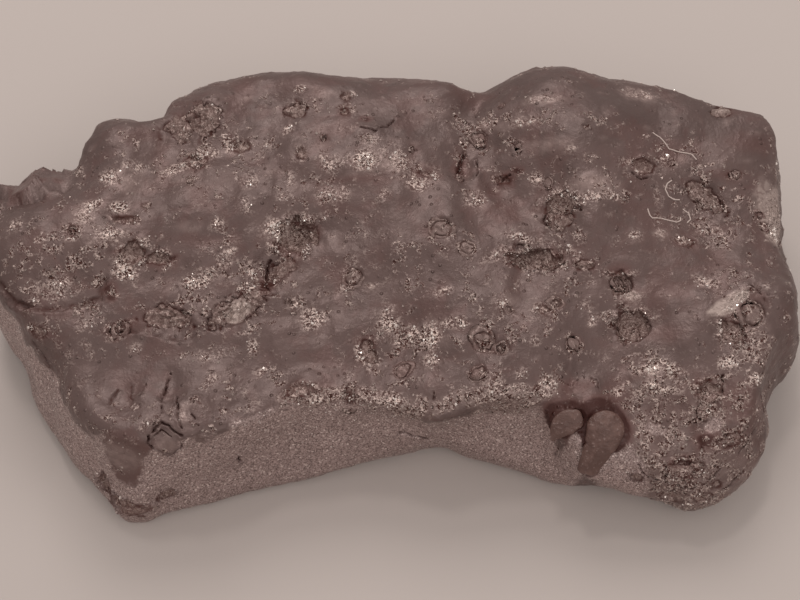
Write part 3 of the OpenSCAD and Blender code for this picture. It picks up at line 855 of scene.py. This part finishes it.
# Small bumps, which get a painted sheen on top.
sheen_bumps = patches(points * (0.5, 1, 1), 1.0, 83.0, 0.4, 0.65) * clear * skin_side * ramp(y, 4, 12)
relief += 0.08 * sheen_bumps
edge_lip = bell(ahead_of_rim(x, y) / 0.5) * (x < 18) * (z > LIP_HEIGHT)
relief += 0.18 * edge_lip * skin_side
for step_x, step_y, radius, push in FLANK_STEPS:
    near_step = np.exp(-((x - step_x) ** 2 + (y - step_y) ** 2) / radius ** 2)
    relief += push * near_step * ramp(normals[:, 2], 0.8, 0.4)
steps = np.flatnonzero(end_break > 0)
shards = 0.3 + 1.2 * ramp(-x[steps], 44, 51) + 1.6 * facets(points[steps], 3.4)
shards += 0.15 * facets(points[steps], 1.2, 5.0)
relief[steps] += end_break[steps] * shards
masks["broken"][steps] *= 1 - 0.9 * end_break[steps]
mark("red", 0.75 * end_break[steps] * ramp(ragged[steps], -0.1, 0.3), steps)


# %% Frost, stains and grit on the skin
def spots_mask(rows, core, grow=1, share=1):
    """Mask of oval spots on the skin, with their size and strength times grow and share.

    Their full strength ends at the part core of their size.
    """
    mask = np.zeros(count)
    for x, y, half_x, half_y, *rest in rows:
        strength, distance = skin_spot(points, x, y, grow * half_x, grow * half_y, *rest)
        mask = np.maximum(mask, share * strength * ramp(distance + 0.35 * ragged, 1.2, core))
    return mask


for name, rows, core in (("frost", FROST, 0.35), ("red", RED, 0.3), ("pale_and_painted_sheen", PAINTED_SHEEN, 0.2)):
    mark(name, spots_mask(rows, core))
# Painted sheen in a wider halo round each spot of frost.
mark("pale_and_painted_sheen", spots_mask(FROST, 0.2, grow=1.6, share=0.2))
masks["grit"] = 0.8 * spots_mask(GRIT, 0.5)
calm = spots_mask(CALM, 0.5)
relief -= 0.5 * calm * clear * skin_side * (0.3 * (puckers - 0.25) + 0.06 * dimples)
crust_route = [np.array((*spot, 0)) for spot in CRUST]
crust_distance = route_distance(points * (1, 1, 0), crust_route)[0]
crust = ramp(crust_distance + 0.5 * ragged, CRUST_WIDTH, 0.5 * CRUST_WIDTH) * (z > LIP_HEIGHT) * skin_side
masks["grit"] = np.maximum(masks["grit"], (0.2 + 0.4 * rough_skin) * skin_side) * (1 - 0.85 * calm)
mark("pale_and_painted_sheen", 0.7 * crust)
speckle = patches(points, 1.9, 21.0, 0.2, 0.7, 2) * patches(points, 9, 31.0, -0.3, 0.4)
masks["frost"] = np.maximum(0.92 * masks["frost"], 0.33 * speckle * (1 - 0.7 * calm) * skin_side)
masks["hollow"] = ramp(puckers + 0.5 * swells, 0.25, -0.15) * skin_side
mark("pale", spots_mask(BLEACHED, 0.8))
crumbs = ripples(points, 0.7, 2, 41.0)
masks["frost"] *= 0.3 + 0.7 * patches(points, 1.3, 43.0, -0.25, 0.2, 2)
masks["grit"] *= 0.15 + 0.85 * patches(points, 1.5, 47.0, -0.1, 0.3, 2)
lobe = ramp(x, 27, 30) * ramp(-y + ragged, 15, 18) * patches(points, 2.6, 91.0, -0.3, 0.2, 2)
lobe *= 1 - 0.7 * masks["red"]
granular = np.maximum.reduce([crust, lobe * skin_side, spots_mask(GRANULAR, 0.6) * skin_side])
mark("grit", 0.6 * granular)
# Pale tone on the granular crust, and painted sheen on the small bumps.
mark("pale_and_painted_sheen", np.maximum(0.45 * granular, 0.35 * sheen_bumps))
mark("pale_and_painted_sheen", 0.45 * ramp(x, 28, 31) * ramp(-y, 23, 26) * skin_side)
# Painted light: this patch of old skin is painted paler and less red.
patch = ramp(oval_distance(on_front, *PAINTED_PALER_PATCH), 1.2, 0.5) * skin_side
mark("pale_and_painted_sheen", 0.7 * patch)
masks["red"] *= 1 - 0.7 * patch
for name in ("frost", "grit", "pale_and_painted_sheen"):
    masks[name] *= 1 - 0.85 * masks["hush"]
for name in ("frost", "grit"):
    masks[name] *= ramp(z, 0.2, 0.6)
del masks["hush"]
# Painted shade: the calm skin is darkened towards the back, where the window light falls brightest.
masks["calm"] = calm * ramp(y, 8, 16)
relief += clear * 0.22 * np.maximum(masks["frost"], masks["grit"] * skin_side) * crumbs

# %% Move the points
relief[underside] = 0
points += normals * relief[:, None]


def keep_in_box(points, soft=0.5):
    """Presses points back that come too near the sides or top of the CAD box. Nothing else moves."""
    middle = (low + high) / 2
    room = high - middle - soft
    away = points - middle
    beyond = np.abs(away) - room
    pressed = np.sign(away) * (room + soft * np.tanh(beyond / soft))
    pressed[:, 2] = np.where(away[:, 2] < 0, away[:, 2], pressed[:, 2])
    return middle + np.where(beyond > 0, pressed, away)


points[:, 2] = np.maximum(points[:, 2], 0)
points = keep_in_box(points)
lump.data.vertices.foreach_set("co", (points * MM).ravel())
lump.data.update()


def write_mask(mesh, name, values):
    layer = mesh.attributes.new(name, "FLOAT", "POINT")
    layer.data.foreach_set("value", np.clip(values, 0, 1))


for name, values in masks.items():
    write_mask(lump.data, name, values)
lump.data.shade_smooth()
surface = BVHTree.FromObject(lump, bpy.context.evaluated_depsgraph_get())

# %% [markdown]
# ## The finish
# Skin and break are in one material, because they meet along a ragged line. The masks say
# where each shows. The skin is a dark oxide, brown and satin. The break is bare metal, made
# of fine grains that each shine their own way. Both get their finest relief as bump. Shade is
# painted into crevices, pores and the gaps between grains, and glints and sheen onto crests.

# %% A helper that writes nodes


class Recipe:
    """Makes nodes in one tree. An input given as a socket is linked, and any other value is set."""

    family = "ShaderNode"

    def __init__(self, tree):
        self.tree = tree

    def add(self, kind, inputs=None, **settings):
        made = self.tree.nodes.new(self.family + kind)
        for name, value in settings.items():
            setattr(made, name, value)
        for name, value in (inputs or {}).items():
            self.put(made.inputs[name], value)
        return made

    def put(self, socket, value):
        if isinstance(value, bpy.types.NodeSocket):
            self.tree.links.new(value, socket)
        else:
            socket.default_value = value


# %% Patterns that the finishes share
class Finish(Recipe):
    """A material on Object coordinates, with the patterns that the finishes share."""

    def __init__(self, name):
        self.material, tree, self.shader = new_material(name)
        super().__init__(tree)
        self.place = self.add("TexCoord").outputs["Object"]

    def shine(self, name, value):
        """Gives the shader one of its inputs."""
        self.put(self.shader.inputs[name], value)

    def mask(self, name):
        return self.add("Attribute", attribute_name=name).outputs["Fac"]

    def noise(self, size_mm, detail=3.0, roughness=0.55):
        inputs = {"Vector": self.place, "Scale": 1 / (size_mm * MM), "Detail": detail, "Roughness": roughness}
        return self.add("TexNoise", inputs).outputs["Fac"]

    def cells(self, size_mm, output="Distance"):
        inputs = {"Vector": self.place, "Scale": 1 / (size_mm * MM)}
        return self.add("TexVoronoi", inputs).outputs[output]

    def spread(self, value, start, end, low=0.0, high=1.0):
        inputs = {"Value": value, "From Min": start, "From Max": end, "To Min": low, "To Max": high}
        return self.add("MapRange", inputs, interpolation_type="SMOOTHSTEP").outputs["Result"]

    def math(self, operation, a, b=0.5):
        return self.add("Math", {0: a, 1: b}, operation=operation).outputs[0]

    def times(self, a, b):
        return self.math("MULTIPLY", a, b)

    def blend(self, factor, a, b):
        return self.add("Mix", {0: factor, 6: a, 7: b}, data_type="RGBA").outputs[2]

    def between(self, factor, a, b):
        return self.add("Mix", {0: factor, 2: a, 3: b}, data_type="FLOAT").outputs[0]

    def bump(self, height, depth_mm, normal=None):
        inputs = {"Height": height, "Distance": depth_mm * MM, "Strength": 1.0}
        if normal is not None:
            inputs["Normal"] = normal
        return self.add("Bump", inputs).outputs["Normal"]


# %% Material of the lump
SKIN_DARK = (0.100, 0.063, 0.057, 1)
SKIN_BROWN = (0.150, 0.096, 0.088, 1)
SKIN_RED = (0.130, 0.054, 0.047, 1)
DEEP_RED = (0.055, 0.015, 0.011, 1)
CRYSTAL_AND_PAINTED_GLINT = (0.92, 0.74, 0.67, 1)
PAINTED_RECESS_SHADE = (0.060, 0.014, 0.009, 1)
PAINTED_GRAIN_SHADE = (0.075, 0.020, 0.013, 1)
SLAG_GREY = (0.245, 0.165, 0.145, 1)
PALE_GREY = (0.46, 0.365, 0.33, 1)
PALE_AND_SHEEN_GREY = (0.325, 0.235, 0.216, 1)
BREAK_GREY = (0.47, 0.352, 0.332, 1)
BREAK_DARK = (0.145, 0.098, 0.089, 1)
BREAK_BRIGHT = (0.75, 0.62, 0.58, 1)
DROP_DARK = (0.104, 0.053, 0.043, 1)
DROP_BROWN = (0.150, 0.083, 0.069, 1)


def skin_colour(f, rough, grains, dust):
    skin = f.blend(f.spread(f.noise(5), 0.3, 0.7, 0.3, 0.75), SKIN_DARK, SKIN_BROWN)
    # Painted shade: calm skin towards the back is darkened.
    skin = f.blend(f.times(f.mask("calm"), 0.8), skin, SKIN_DARK)
    skin = f.blend(f.times(f.mask("hollow"), 0.28), skin, SKIN_RED)
    skin = f.blend(f.times(f.mask("rubble"), 0.7), skin, SLAG_GREY)
    # Pale tone of the crust and the granular lobe, and painted sheen on small bumps and spots.
    pale_and_painted_sheen = f.times(f.mask("pale_and_painted_sheen"), f.spread(f.noise(0.9, 3), 0.3, 0.6, 0.4, 0.8))
    skin = f.blend(pale_and_painted_sheen, skin, PALE_AND_SHEEN_GREY)
    skin = f.blend(f.times(f.mask("red"), 0.75), skin, SKIN_RED)
    skin = f.blend(f.spread(f.mask("red"), 0.6, 0.95), skin, DEEP_RED)
    # Painted shade in the low parts of the grain and dust relief, which the bump also uses.
    skin = f.blend(f.times(f.spread(grains, 0.465, 0.41), rough), skin, PAINTED_GRAIN_SHADE)
    skin = f.blend(f.times(f.spread(dust, 0.475, 0.42), rough), skin, PAINTED_GRAIN_SHADE)
    # Pale crystal tone and painted glints on the crests of that relief, and on thin fibres.
    pale = f.math("MAXIMUM", f.mask("frost"), f.times(rough, 0.5))
    fibres = f.math("ABSOLUTE", f.math("SUBTRACT", f.noise(0.7, 2, 0.6), 0.5))
    skin = f.blend(f.times(f.spread(fibres, 0.028, 0.012, 0, 0.9), pale), skin, CRYSTAL_AND_PAINTED_GLINT)
    skin = f.blend(f.times(f.spread(grains, 0.565, 0.605), pale), skin, CRYSTAL_AND_PAINTED_GLINT)
    return f.blend(f.times(f.spread(dust, 0.58, 0.62), pale), skin, CRYSTAL_AND_PAINTED_GLINT)


def break_colour(f):
    grain = f.cells(0.13, "Color")
    metal = f.blend(f.spread(grain, 0.0, 0.8), BREAK_DARK, BREAK_GREY)
    metal = f.blend(f.spread(f.cells(0.18, "Color"), 0.80, 0.88, 0, 0.9), metal, BREAK_BRIGHT)
    # Pores get painted shade.
    pores = f.times(f.spread(f.cells(0.8), 0.13, 0.06), f.spread(f.noise(2.5), 0.45, 0.6))
    pores = f.math("MAXIMUM", pores, f.spread(f.noise(0.4, 3, 0.7), 0.36, 0.28))
    return f.blend(pores, metal, PAINTED_RECESS_SHADE), grain


# %% The whole finish
def lump_finish():
    f = Finish("silicomanganese")
    broken, crevice_shade, frost = f.mask("broken"), f.mask("crevice_shade"), f.mask("frost")
    metal, grain = break_colour(f)
    ragged = f.math("ADD", f.mask("grit"), f.spread(f.noise(0.8, 2), 0.3, 0.7, -0.4, 0.2))
    rough = f.math("MAXIMUM", frost, f.times(f.mask("rubble"), 0.25))
    rough = f.math("MAXIMUM", f.spread(ragged, 0.1, 0.8), rough)
    grains, dust = f.noise(0.43, 1.5, 0.5), f.noise(0.23, 1.0, 0.5)
    colour = f.blend(broken, skin_colour(f, rough, grains, dust), metal)
    pale = f.times(f.mask("pale"), f.spread(f.noise(0.45, 3), 0.36, 0.56, 0.45, 1.0))
    colour = f.blend(pale, colour, PALE_GREY)
    # Painted shade in crevices, rims and grooves.
    colour = f.blend(f.times(crevice_shade, 0.95), colour, PAINTED_RECESS_SHADE)
    f.shine("Base Color", colour)
    rough_skin = f.between(rough, f.spread(f.noise(1.4), 0.3, 0.7, 0.38, 0.52), 0.32)
    rough_break = f.spread(grain, 0.1, 0.9, 0.60, 0.34)
    roughness = f.between(broken, rough_skin, rough_break)
    # The painted shade is rough and not metallic, so no reflection lightens it.
    f.shine("Roughness", f.between(crevice_shade, roughness, 0.95))
    metallic = f.times(f.between(broken, 0.25, 0.45), f.math("SUBTRACT", 1.0, crevice_shade))
    f.shine("Metallic", metallic)
    pimples = f.spread(f.cells(1.1), 0.26, 0.05)
    skin = f.bump(f.times(pimples, f.spread(f.noise(3), 0.45, 0.62)), 0.16)
    skin = f.bump(f.noise(0.8, 3), 0.12, skin)
    for height, depth in ((f.noise(1.1, 2), 0.6), (grains, 0.6), (dust, 0.3)):
        skin = f.bump(f.times(f.math("SUBTRACT", height, 0.5), rough), depth, skin)
    metal_relief = f.bump(f.noise(0.7, 2), 0.15, f.bump(grain, 0.10))
    chosen = f.add("Mix", {0: broken, 4: skin, 5: metal_relief}, data_type="VECTOR")
    f.shine("Normal", chosen.outputs[1])
    return f.material


lump.data.materials.append(lump_finish())

# %% [markdown]
# ## The drip and the bead
# Two drops of metal came through the lip of the skin last. One ran down over the front and
# froze as a drip with a round head and a blunt tail. The other is a round bead beside it.
# Both are smooth, so they are lofted: rings of points round a line from the head to the tail.

# %% Loft a drop
DROP_SIDES = 48


def closed_mesh(shape, name):
    """A smooth mesh of the edited shape, which is freed."""
    mesh = bpy.data.meshes.new(name)
    shape.to_mesh(mesh)
    shape.free()
    mesh.shade_smooth()
    return mesh


def smooth_path(values, steps):
    """Points at even steps on a smooth curve through the values."""
    values = np.array(values, float)
    knots = np.linspace(0, 1, len(values))
    fit = np.polyfit(knots, values, min(3, len(values) - 1))
    if values.ndim == 1:
        return np.array([np.polyval(fit, t) for t in steps])
    return np.array([[np.polyval(f, t) for f in fit.T] for t in steps])


def lofted(name, drop, flatness, waist=0.0, blunt=1.0):
    """A closed flat drop along a path, with a round head, a blunt tail and a waist below the head."""
    steps = np.linspace(0, 1, 30)
    centres, radii = smooth_path(drop[0], steps), smooth_path(drop[1], steps)
    radii -= waist * bell((steps - 0.42) / 0.035)
    ahead = np.gradient(centres, axis=0)
    ahead /= np.linalg.norm(ahead, axis=1)[:, None]
    caps = np.linspace(0.02, 1, 12)[:-1] * math.pi / 2
    first, last = ahead[0] * radii[0], ahead[-1] * radii[-1]
    head = [(centres[0] - first * math.cos(t), radii[0] * math.sin(t), ahead[0]) for t in caps]
    tail = [
        (centres[-1] + last * blunt * math.cos(t), radii[-1] * math.sin(t) ** blunt, ahead[-1])
        for t in caps
    ]
    rings = head + list(zip(centres, radii, ahead)) + tail[::-1]
    angles = np.linspace(0, FULL_TURN, DROP_SIDES, endpoint=False)
    shape = bmesh.new()
    rows = []
    for centre, radius, heading in rings:
        side = np.cross(heading, (0.0, -0.5, 0.87))
        side /= np.linalg.norm(side)
        out = np.cross(side, heading)
        circle = np.outer(np.cos(angles), side) + np.outer(flatness * np.sin(angles), out)
        ring = centre + radius * circle
        rows.append([shape.verts.new(spot * MM) for spot in ring])
    for lower, upper in zip(rows, rows[1:]):
        for k in range(DROP_SIDES):
            nxt = (k + 1) % DROP_SIDES
            shape.faces.new((lower[k], lower[nxt], upper[nxt], upper[k]))
    shape.faces.new(rows[0])
    shape.faces.new(rows[-1])
    bmesh.ops.recalc_face_normals(shape, faces=shape.faces)
    return new_piece(name, closed_mesh(shape, name))


drip = lofted("drip", DRIP, 0.36, waist=0.2, blunt=0.5)
bead = lofted("bead", BEAD, 0.26, blunt=0.7)
print("the drip has", len(drip.data.polygons), "faces")


# %% Finish of the drops
def drop_finish():
    f = Finish("smooth drops")
    colour = f.blend(f.spread(f.noise(1.4), 0.4, 0.65), DROP_DARK, DROP_BROWN)
    # Painted highlights: pale specks on the drops.
    colour = f.blend(f.spread(f.noise(0.4, 3), 0.58, 0.72, 0, 0.6), colour, PALE_AND_SHEEN_GREY)
    f.shine("Base Color", colour)
    f.shine("Roughness", f.spread(f.noise(0.8), 0.3, 0.7, 0.40, 0.55))
    f.shine("Metallic", 0.0)
    f.shine("Normal", f.bump(f.noise(0.4, 3), 0.16, f.bump(f.noise(1.2, 2), 0.25)))
    return f.material


smooth_drops = drop_finish()
for drop in (drip, bead):
    drop.data.materials.append(smooth_drops)

# %% [markdown]
# ## Blisters
# Small blisters froze as buttons, with a shrinkage groove round them and a low lip outside, or
# burst into cups. Each kind is one turned shape, so Geometry Nodes set it at every place,
# upright on the skin. The places are loose points with a facing and a size.

# %% Shapes of a blister
BLISTER_PROFILE = [
    (0.25, 0.17), (0.45, 0.16), (0.62, 0.13), (0.75, 0.09), (0.84, 0.03), (0.89, -0.06), (0.93, -0.14),
    (0.98, -0.13), (1.03, -0.03), (1.1, 0.02), (1.2, 0.02), (1.35, -0.04), (1.6, -0.25),
]
CUP_PROFILE = [
    (0.2, 0.06), (0.34, 0), (0.46, -0.2), (0.6, -0.42), (0.72, -0.36), (0.82, -0.1), (0.92, 0.12),
    (1.02, 0.2), (1.15, 0.16), (1.32, 0.06), (1.5, -0.06), (1.7, -0.3),
]
BLISTER_SIDES = 28


def turned(name, profile, top, groove):
    """A skirted button turned from its profile. Between the two radii of groove, shade is painted."""
    shape = bmesh.new()
    peak = shape.verts.new((0, 0, top))
    turns = [FULL_TURN * k / BLISTER_SIDES for k in range(BLISTER_SIDES)]
    rings = [[shape.verts.new((r * math.cos(a), r * math.sin(a), z)) for a in turns] for r, z in profile]
    for k in range(BLISTER_SIDES):
        nxt = (k + 1) % BLISTER_SIDES
        shape.faces.new((peak, rings[0][k], rings[0][nxt]))
        for inner, outer in zip(rings, rings[1:]):
            shape.faces.new((inner[k], outer[k], outer[nxt], inner[nxt]))
    shape.faces.new(reversed(rings[-1]))
    mesh = closed_mesh(shape, name)
    radii = np.array([math.hypot(v.co.x, v.co.y) for v in mesh.vertices])
    inner, outer = groove
    # Painted shade in the groove.
    write_mask(mesh, "crevice_shade", ramp(radii, inner - 0.1, inner) * ramp(radii, outer + 0.1, outer))
    return bpy.data.objects.new(name, mesh)


button = turned("blister shape", BLISTER_PROFILE, 0.18, (0.9, 0.98))
cup = turned("cup shape", CUP_PROFILE, 0.08, (0.46, 0.8))


# %% Geometry Nodes that set a shape at every place
class Machine(Recipe):
    """A Geometry Nodes tree with named inputs."""

    family = ""

    def __init__(self, name, **inputs):
        super().__init__(bpy.data.node_groups.new(name, "GeometryNodeTree"))
        face = self.tree.interface
        face.new_socket("Geometry", in_out="INPUT", socket_type="NodeSocketGeometry")
        face.new_socket("Geometry", in_out="OUTPUT", socket_type="NodeSocketGeometry")
        for label, kind in inputs.items():
            face.new_socket(label.replace("_", " "), in_out="INPUT", socket_type="NodeSocket" + kind)
        self.start = self.add("NodeGroupInput").outputs
        self.end = self.add("NodeGroupOutput").inputs

    def named(self, name, kind="FLOAT"):
        made = self.add("GeometryNodeInputNamedAttribute", {"Name": name}, data_type=kind)
        return made.outputs["Attribute"]

    def random(self, kind, smallest, largest, seed):
        first = {"FLOAT_VECTOR": 0, "FLOAT": 2}[kind]
        inputs = {first: smallest, first + 1: largest, "Seed": seed}
        return self.add("FunctionNodeRandomValue", inputs, data_type=kind).outputs[first // 2]

    def deliver(self, instances, material):
        real = self.add("GeometryNodeRealizeInstances", {"Geometry": instances}).outputs[0]
        done = self.add("GeometryNodeSetMaterial", {"Geometry": real, "Material": material}).outputs[0]
        self.put(self.end["Geometry"], done)

    def run(self, name, host_mesh, **values):
        """Runs the tree on a mesh, and returns the result as a plain mesh piece."""
        piece = new_piece(name, host_mesh)
        modifier = piece.modifiers.new("nodes", "NODES")
        modifier.node_group = self.tree
        for item in self.tree.interface.items_tree:
            label = item.name.replace(" ", "_")
            if item.in_out == "INPUT" and label in values:
                modifier[item.identifier] = values[label]
        mesh = finished_mesh(piece)
        mesh.calc_loop_triangles()
        print(name, "has", len(mesh.loop_triangles), "triangles")
        return piece


# %% The tree that sets a shape
def setting_tree():
    m = Machine("set in places", Shape="Object", Seed="Int", Material="Material")
    shape = m.add("GeometryNodeObjectInfo", {"Object": m.start["Shape"]}).outputs["Geometry"]
    inputs = {"Vector": m.named("facing", "FLOAT_VECTOR")}
    facing = m.add("FunctionNodeAlignRotationToVector", inputs, axis="Z").outputs[0]
    turn = m.random("FLOAT_VECTOR", (0, 0, 0), (0, 0, FULL_TURN), m.start["Seed"])
    rotation = m.add("FunctionNodeRotateRotation", {0: facing, 1: turn}, rotation_space="LOCAL").outputs[0]
    size = m.named("size", "FLOAT_VECTOR")
    inputs = {"Points": m.start["Geometry"], "Instance": shape, "Rotation": rotation, "Scale": size}
    m.deliver(m.add("GeometryNodeInstanceOnPoints", inputs).outputs[0], m.start["Material"])
    return m


# %% Points that carry the shapes
def seat(x, y, radius):
    """Point in mm and facing of a blister, from the ring of skin round its bed."""
    turns = [FULL_TURN * k / 8 for k in range(8)]
    ring = [on_skin(x + 1.6 * radius * math.cos(t), y + 1.6 * radius * math.sin(t)) for t in turns]
    return np.mean([spot for spot, _ in ring], axis=0), np.mean([normal for _, normal in ring], axis=0)


def loose_points(name, rows):
    """A mesh of points at rows of x, y and radius, with their facing and size."""
    seats = [seat(*row) for row in rows]
    mesh = bpy.data.meshes.new(name)
    mesh.from_pydata([Vector(spot) * MM for spot, _ in seats], [], [])
    sizes = np.array([(1.14 * radius, 0.9 * radius, radius) for _, _, radius in rows])
    for label, values in (("facing", [normal for _, normal in seats]), ("size", sizes * MM)):
        attribute = mesh.attributes.new(label, "FLOAT_VECTOR", "POINT")
        attribute.data.foreach_set("vector", np.array(values).ravel())
    return mesh


# %% Set the blisters
setter = setting_tree()
finish = lump.data.materials[0]


def roughened(piece):
    """Bends the outlines of blisters and pits their surface, because no two froze alike."""
    mesh = piece.data
    spots = vectors(mesh, "co") / MM
    bends = np.column_stack([ripples(spots, 0.9, 2, shift) for shift in (61.0, 67.0, 71.0)])
    mesh.vertices.foreach_set("co", ((spots + 0.28 * bends) * MM).ravel())
    # The painted shade in the groove is broken up round the ring.
    broken_ring = 0.1 + 0.5 * patches(spots, 1.0, 75.0, -0.2, 0.2)
    crevice_shade = np.empty(len(spots))
    mesh.attributes["crevice_shade"].data.foreach_get("value", crevice_shade)
    mesh.attributes["crevice_shade"].data.foreach_set("value", crevice_shade * broken_ring)
    write_mask(mesh, "grit", 0.7 * patches(spots, 1.2, 73.0, -0.3, 0.3, 2))
    write_mask(mesh, "rubble", np.full(len(spots), 0.35))
    write_mask(mesh, "red", 0.4 * patches(spots, 5, 81.0, 0.0, 0.25))
    write_mask(mesh, "pale_and_painted_sheen", np.full(len(spots), 0.3))


button_places, cup_places = loose_points("blister places", BUTTONS), loose_points("cup places", CUPS)
blisters = setter.run("blisters", button_places, Shape=button, Seed=1, Material=finish)
cups = setter.run("burst_blisters", cup_places, Shape=cup, Seed=2, Material=finish)
roughened(blisters)
roughened(cups)

# %% [markdown]
# ## Rubble, frost and sparkle
# Stones in the craters, frost and grit on the skin and bright grains on the break are all
# scattered over the sculpted body. The masks give their density, so one tree makes them all.

# %% Geometry Nodes that scatter grains
TO_SQUARE_METRE = 1e6


def scatter_tree():
    m = Machine("scatter grains", Mask="String", Per_square_metre="Float", Smallest="Float", Largest="Float",
                Seed="Int", Material="Material")
    mask = m.named(m.start["Mask"])
    squared = m.add("ShaderNodeMath", {0: mask, 1: mask}, operation="MULTIPLY").outputs[0]
    most = m.start["Per square metre"]
    density = m.add("ShaderNodeMath", {0: squared, 1: most}, operation="MULTIPLY").outputs[0]
    inputs = {"Mesh": m.start["Geometry"], "Density": density, "Seed": m.start["Seed"]}
    spots = m.add("GeometryNodeDistributePointsOnFaces", inputs).outputs["Points"]
    size = m.random("FLOAT", m.start["Smallest"], m.start["Largest"], m.start["Seed"])
    shape = m.random("FLOAT_VECTOR", (0.4, 0.4, 0.4), (1, 1, 1), m.start["Seed"])
    scale = m.add("ShaderNodeVectorMath", {0: shape, "Scale": size}, operation="SCALE").outputs[0]
    turn = m.random("FLOAT_VECTOR", (0, 0, 0), (FULL_TURN,) * 3, m.start["Seed"])
    crystal = m.add("GeometryNodeMeshUVSphere", {"Segments": 4, "Rings": 2, "Radius": 1.0}).outputs["Mesh"]
    inputs = {"Points": spots, "Instance": crystal, "Rotation": turn, "Scale": scale}
    m.deliver(m.add("GeometryNodeInstanceOnPoints", inputs).outputs[0], m.start["Material"])
    return m


def crystal_finish(name, colour, metallic, roughness):
    material, _, shader = new_material(name)
    shader.inputs["Base Color"].default_value = colour
    shader.inputs["Metallic"].default_value = metallic
    shader.inputs["Roughness"].default_value = roughness
    return material


write_mask(lump.data, "front sparkle", masks["broken"] * ramp(points[:, 2], 2, 14) * (points[:, 1] < 8))
scatter = scatter_tree()
frost_look = crystal_finish("frost crystals", (0.90, 0.81, 0.76, 1), 0.5, 0.25)
grit_look = crystal_finish("grit crystals", (0.42, 0.34, 0.31, 1), 0.5, 0.32)
GRAINS = [
    ("frost", "frost", 9.0, 0.08, 0.20, 5, frost_look),
    ("crystals", "frost", 2.4, 0.18, 0.34, 9, frost_look),
    ("rubble", "rubble", 1.2, 0.16, 0.42, 6, finish),
    ("grit", "grit", 4.0, 0.12, 0.30, 8, grit_look),
    ("sparkle", "front sparkle", 1.5, 0.05, 0.13, 7, frost_look),
]
grains = [
    scatter.run(name, lump.data.copy(), Mask=mask, Per_square_metre=per_mm2 * TO_SQUARE_METRE,
                Smallest=smallest * MM, Largest=largest * MM, Seed=seed, Material=material)
    for name, mask, per_mm2, smallest, largest, seed, material in GRAINS
]

# %% [markdown]
# ## Pale threads
# Some thin pale threads of dross lie curled on the right of the skin. Each is a curve draped
# over the surface, with a round section.

# %% Threads
THREADS = [
    [(35.3, 9.3), (34.7, 8.8), (34.4, 8), (34.8, 7.2), (35.5, 6.9), (36.4, 7)],
    [(32, 5.1), (32.2, 4.2), (32.5, 3.8), (33.6, 4), (34.8, 3.8), (35.6, 3.7), (36.2, 4.1), (36.2, 4.7)],
    [(33.2, 15.9), (34.1, 15.3), (34.7, 14.5), (35.2, 13.7), (36.4, 13.4), (37.9, 13.1), (38.7, 12.1)],
    [(36.6, 5.8), (37.3, 5.3), (37.5, 4.4), (36.9, 3.8)],
]
THREAD_RADIUS = 0.09


def draped(route):
    """Points every 0.15 mm or so along a route, dropped on the skin."""
    spots = []
    for start, end in zip(route, route[1:]):
        parts = max(2, round(math.dist(start, end) / 0.15))
        spots += [Vector(start).lerp(Vector(end), k / parts) for k in range(parts)]
    return [on_skin(spot.x, spot.y)[0] + (0, 0, 0.4 * THREAD_RADIUS) for spot in spots]


def make_threads():
    curve = bpy.data.curves.new("threads", "CURVE")
    curve.dimensions = "3D"
    curve.bevel_depth = THREAD_RADIUS * MM
    curve.bevel_resolution = 1
    curve.use_fill_caps = True
    for route in THREADS:
        spots = draped(route)
        spline = curve.splines.new("POLY")
        spline.points.add(len(spots) - 1)
        for point, spot in zip(spline.points, spots):
            point.co = (*(Vector(spot) * MM), 1)
    piece = new_piece("threads", curve)
    mesh = evaluated_mesh(piece)
    bpy.data.objects.remove(piece)
    mesh.materials.append(crystal_finish("pale dross", (0.56, 0.46, 0.42, 1), 0.0, 0.6))
    return new_piece("threads", mesh)


threads = make_threads()
print("the threads have", len(threads.data.polygons), "faces")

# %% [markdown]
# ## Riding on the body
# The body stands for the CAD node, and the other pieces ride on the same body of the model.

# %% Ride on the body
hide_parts("lump")
for piece in (lump, drip, bead, blisters, cups, threads, *grains):
    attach(piece, "root")
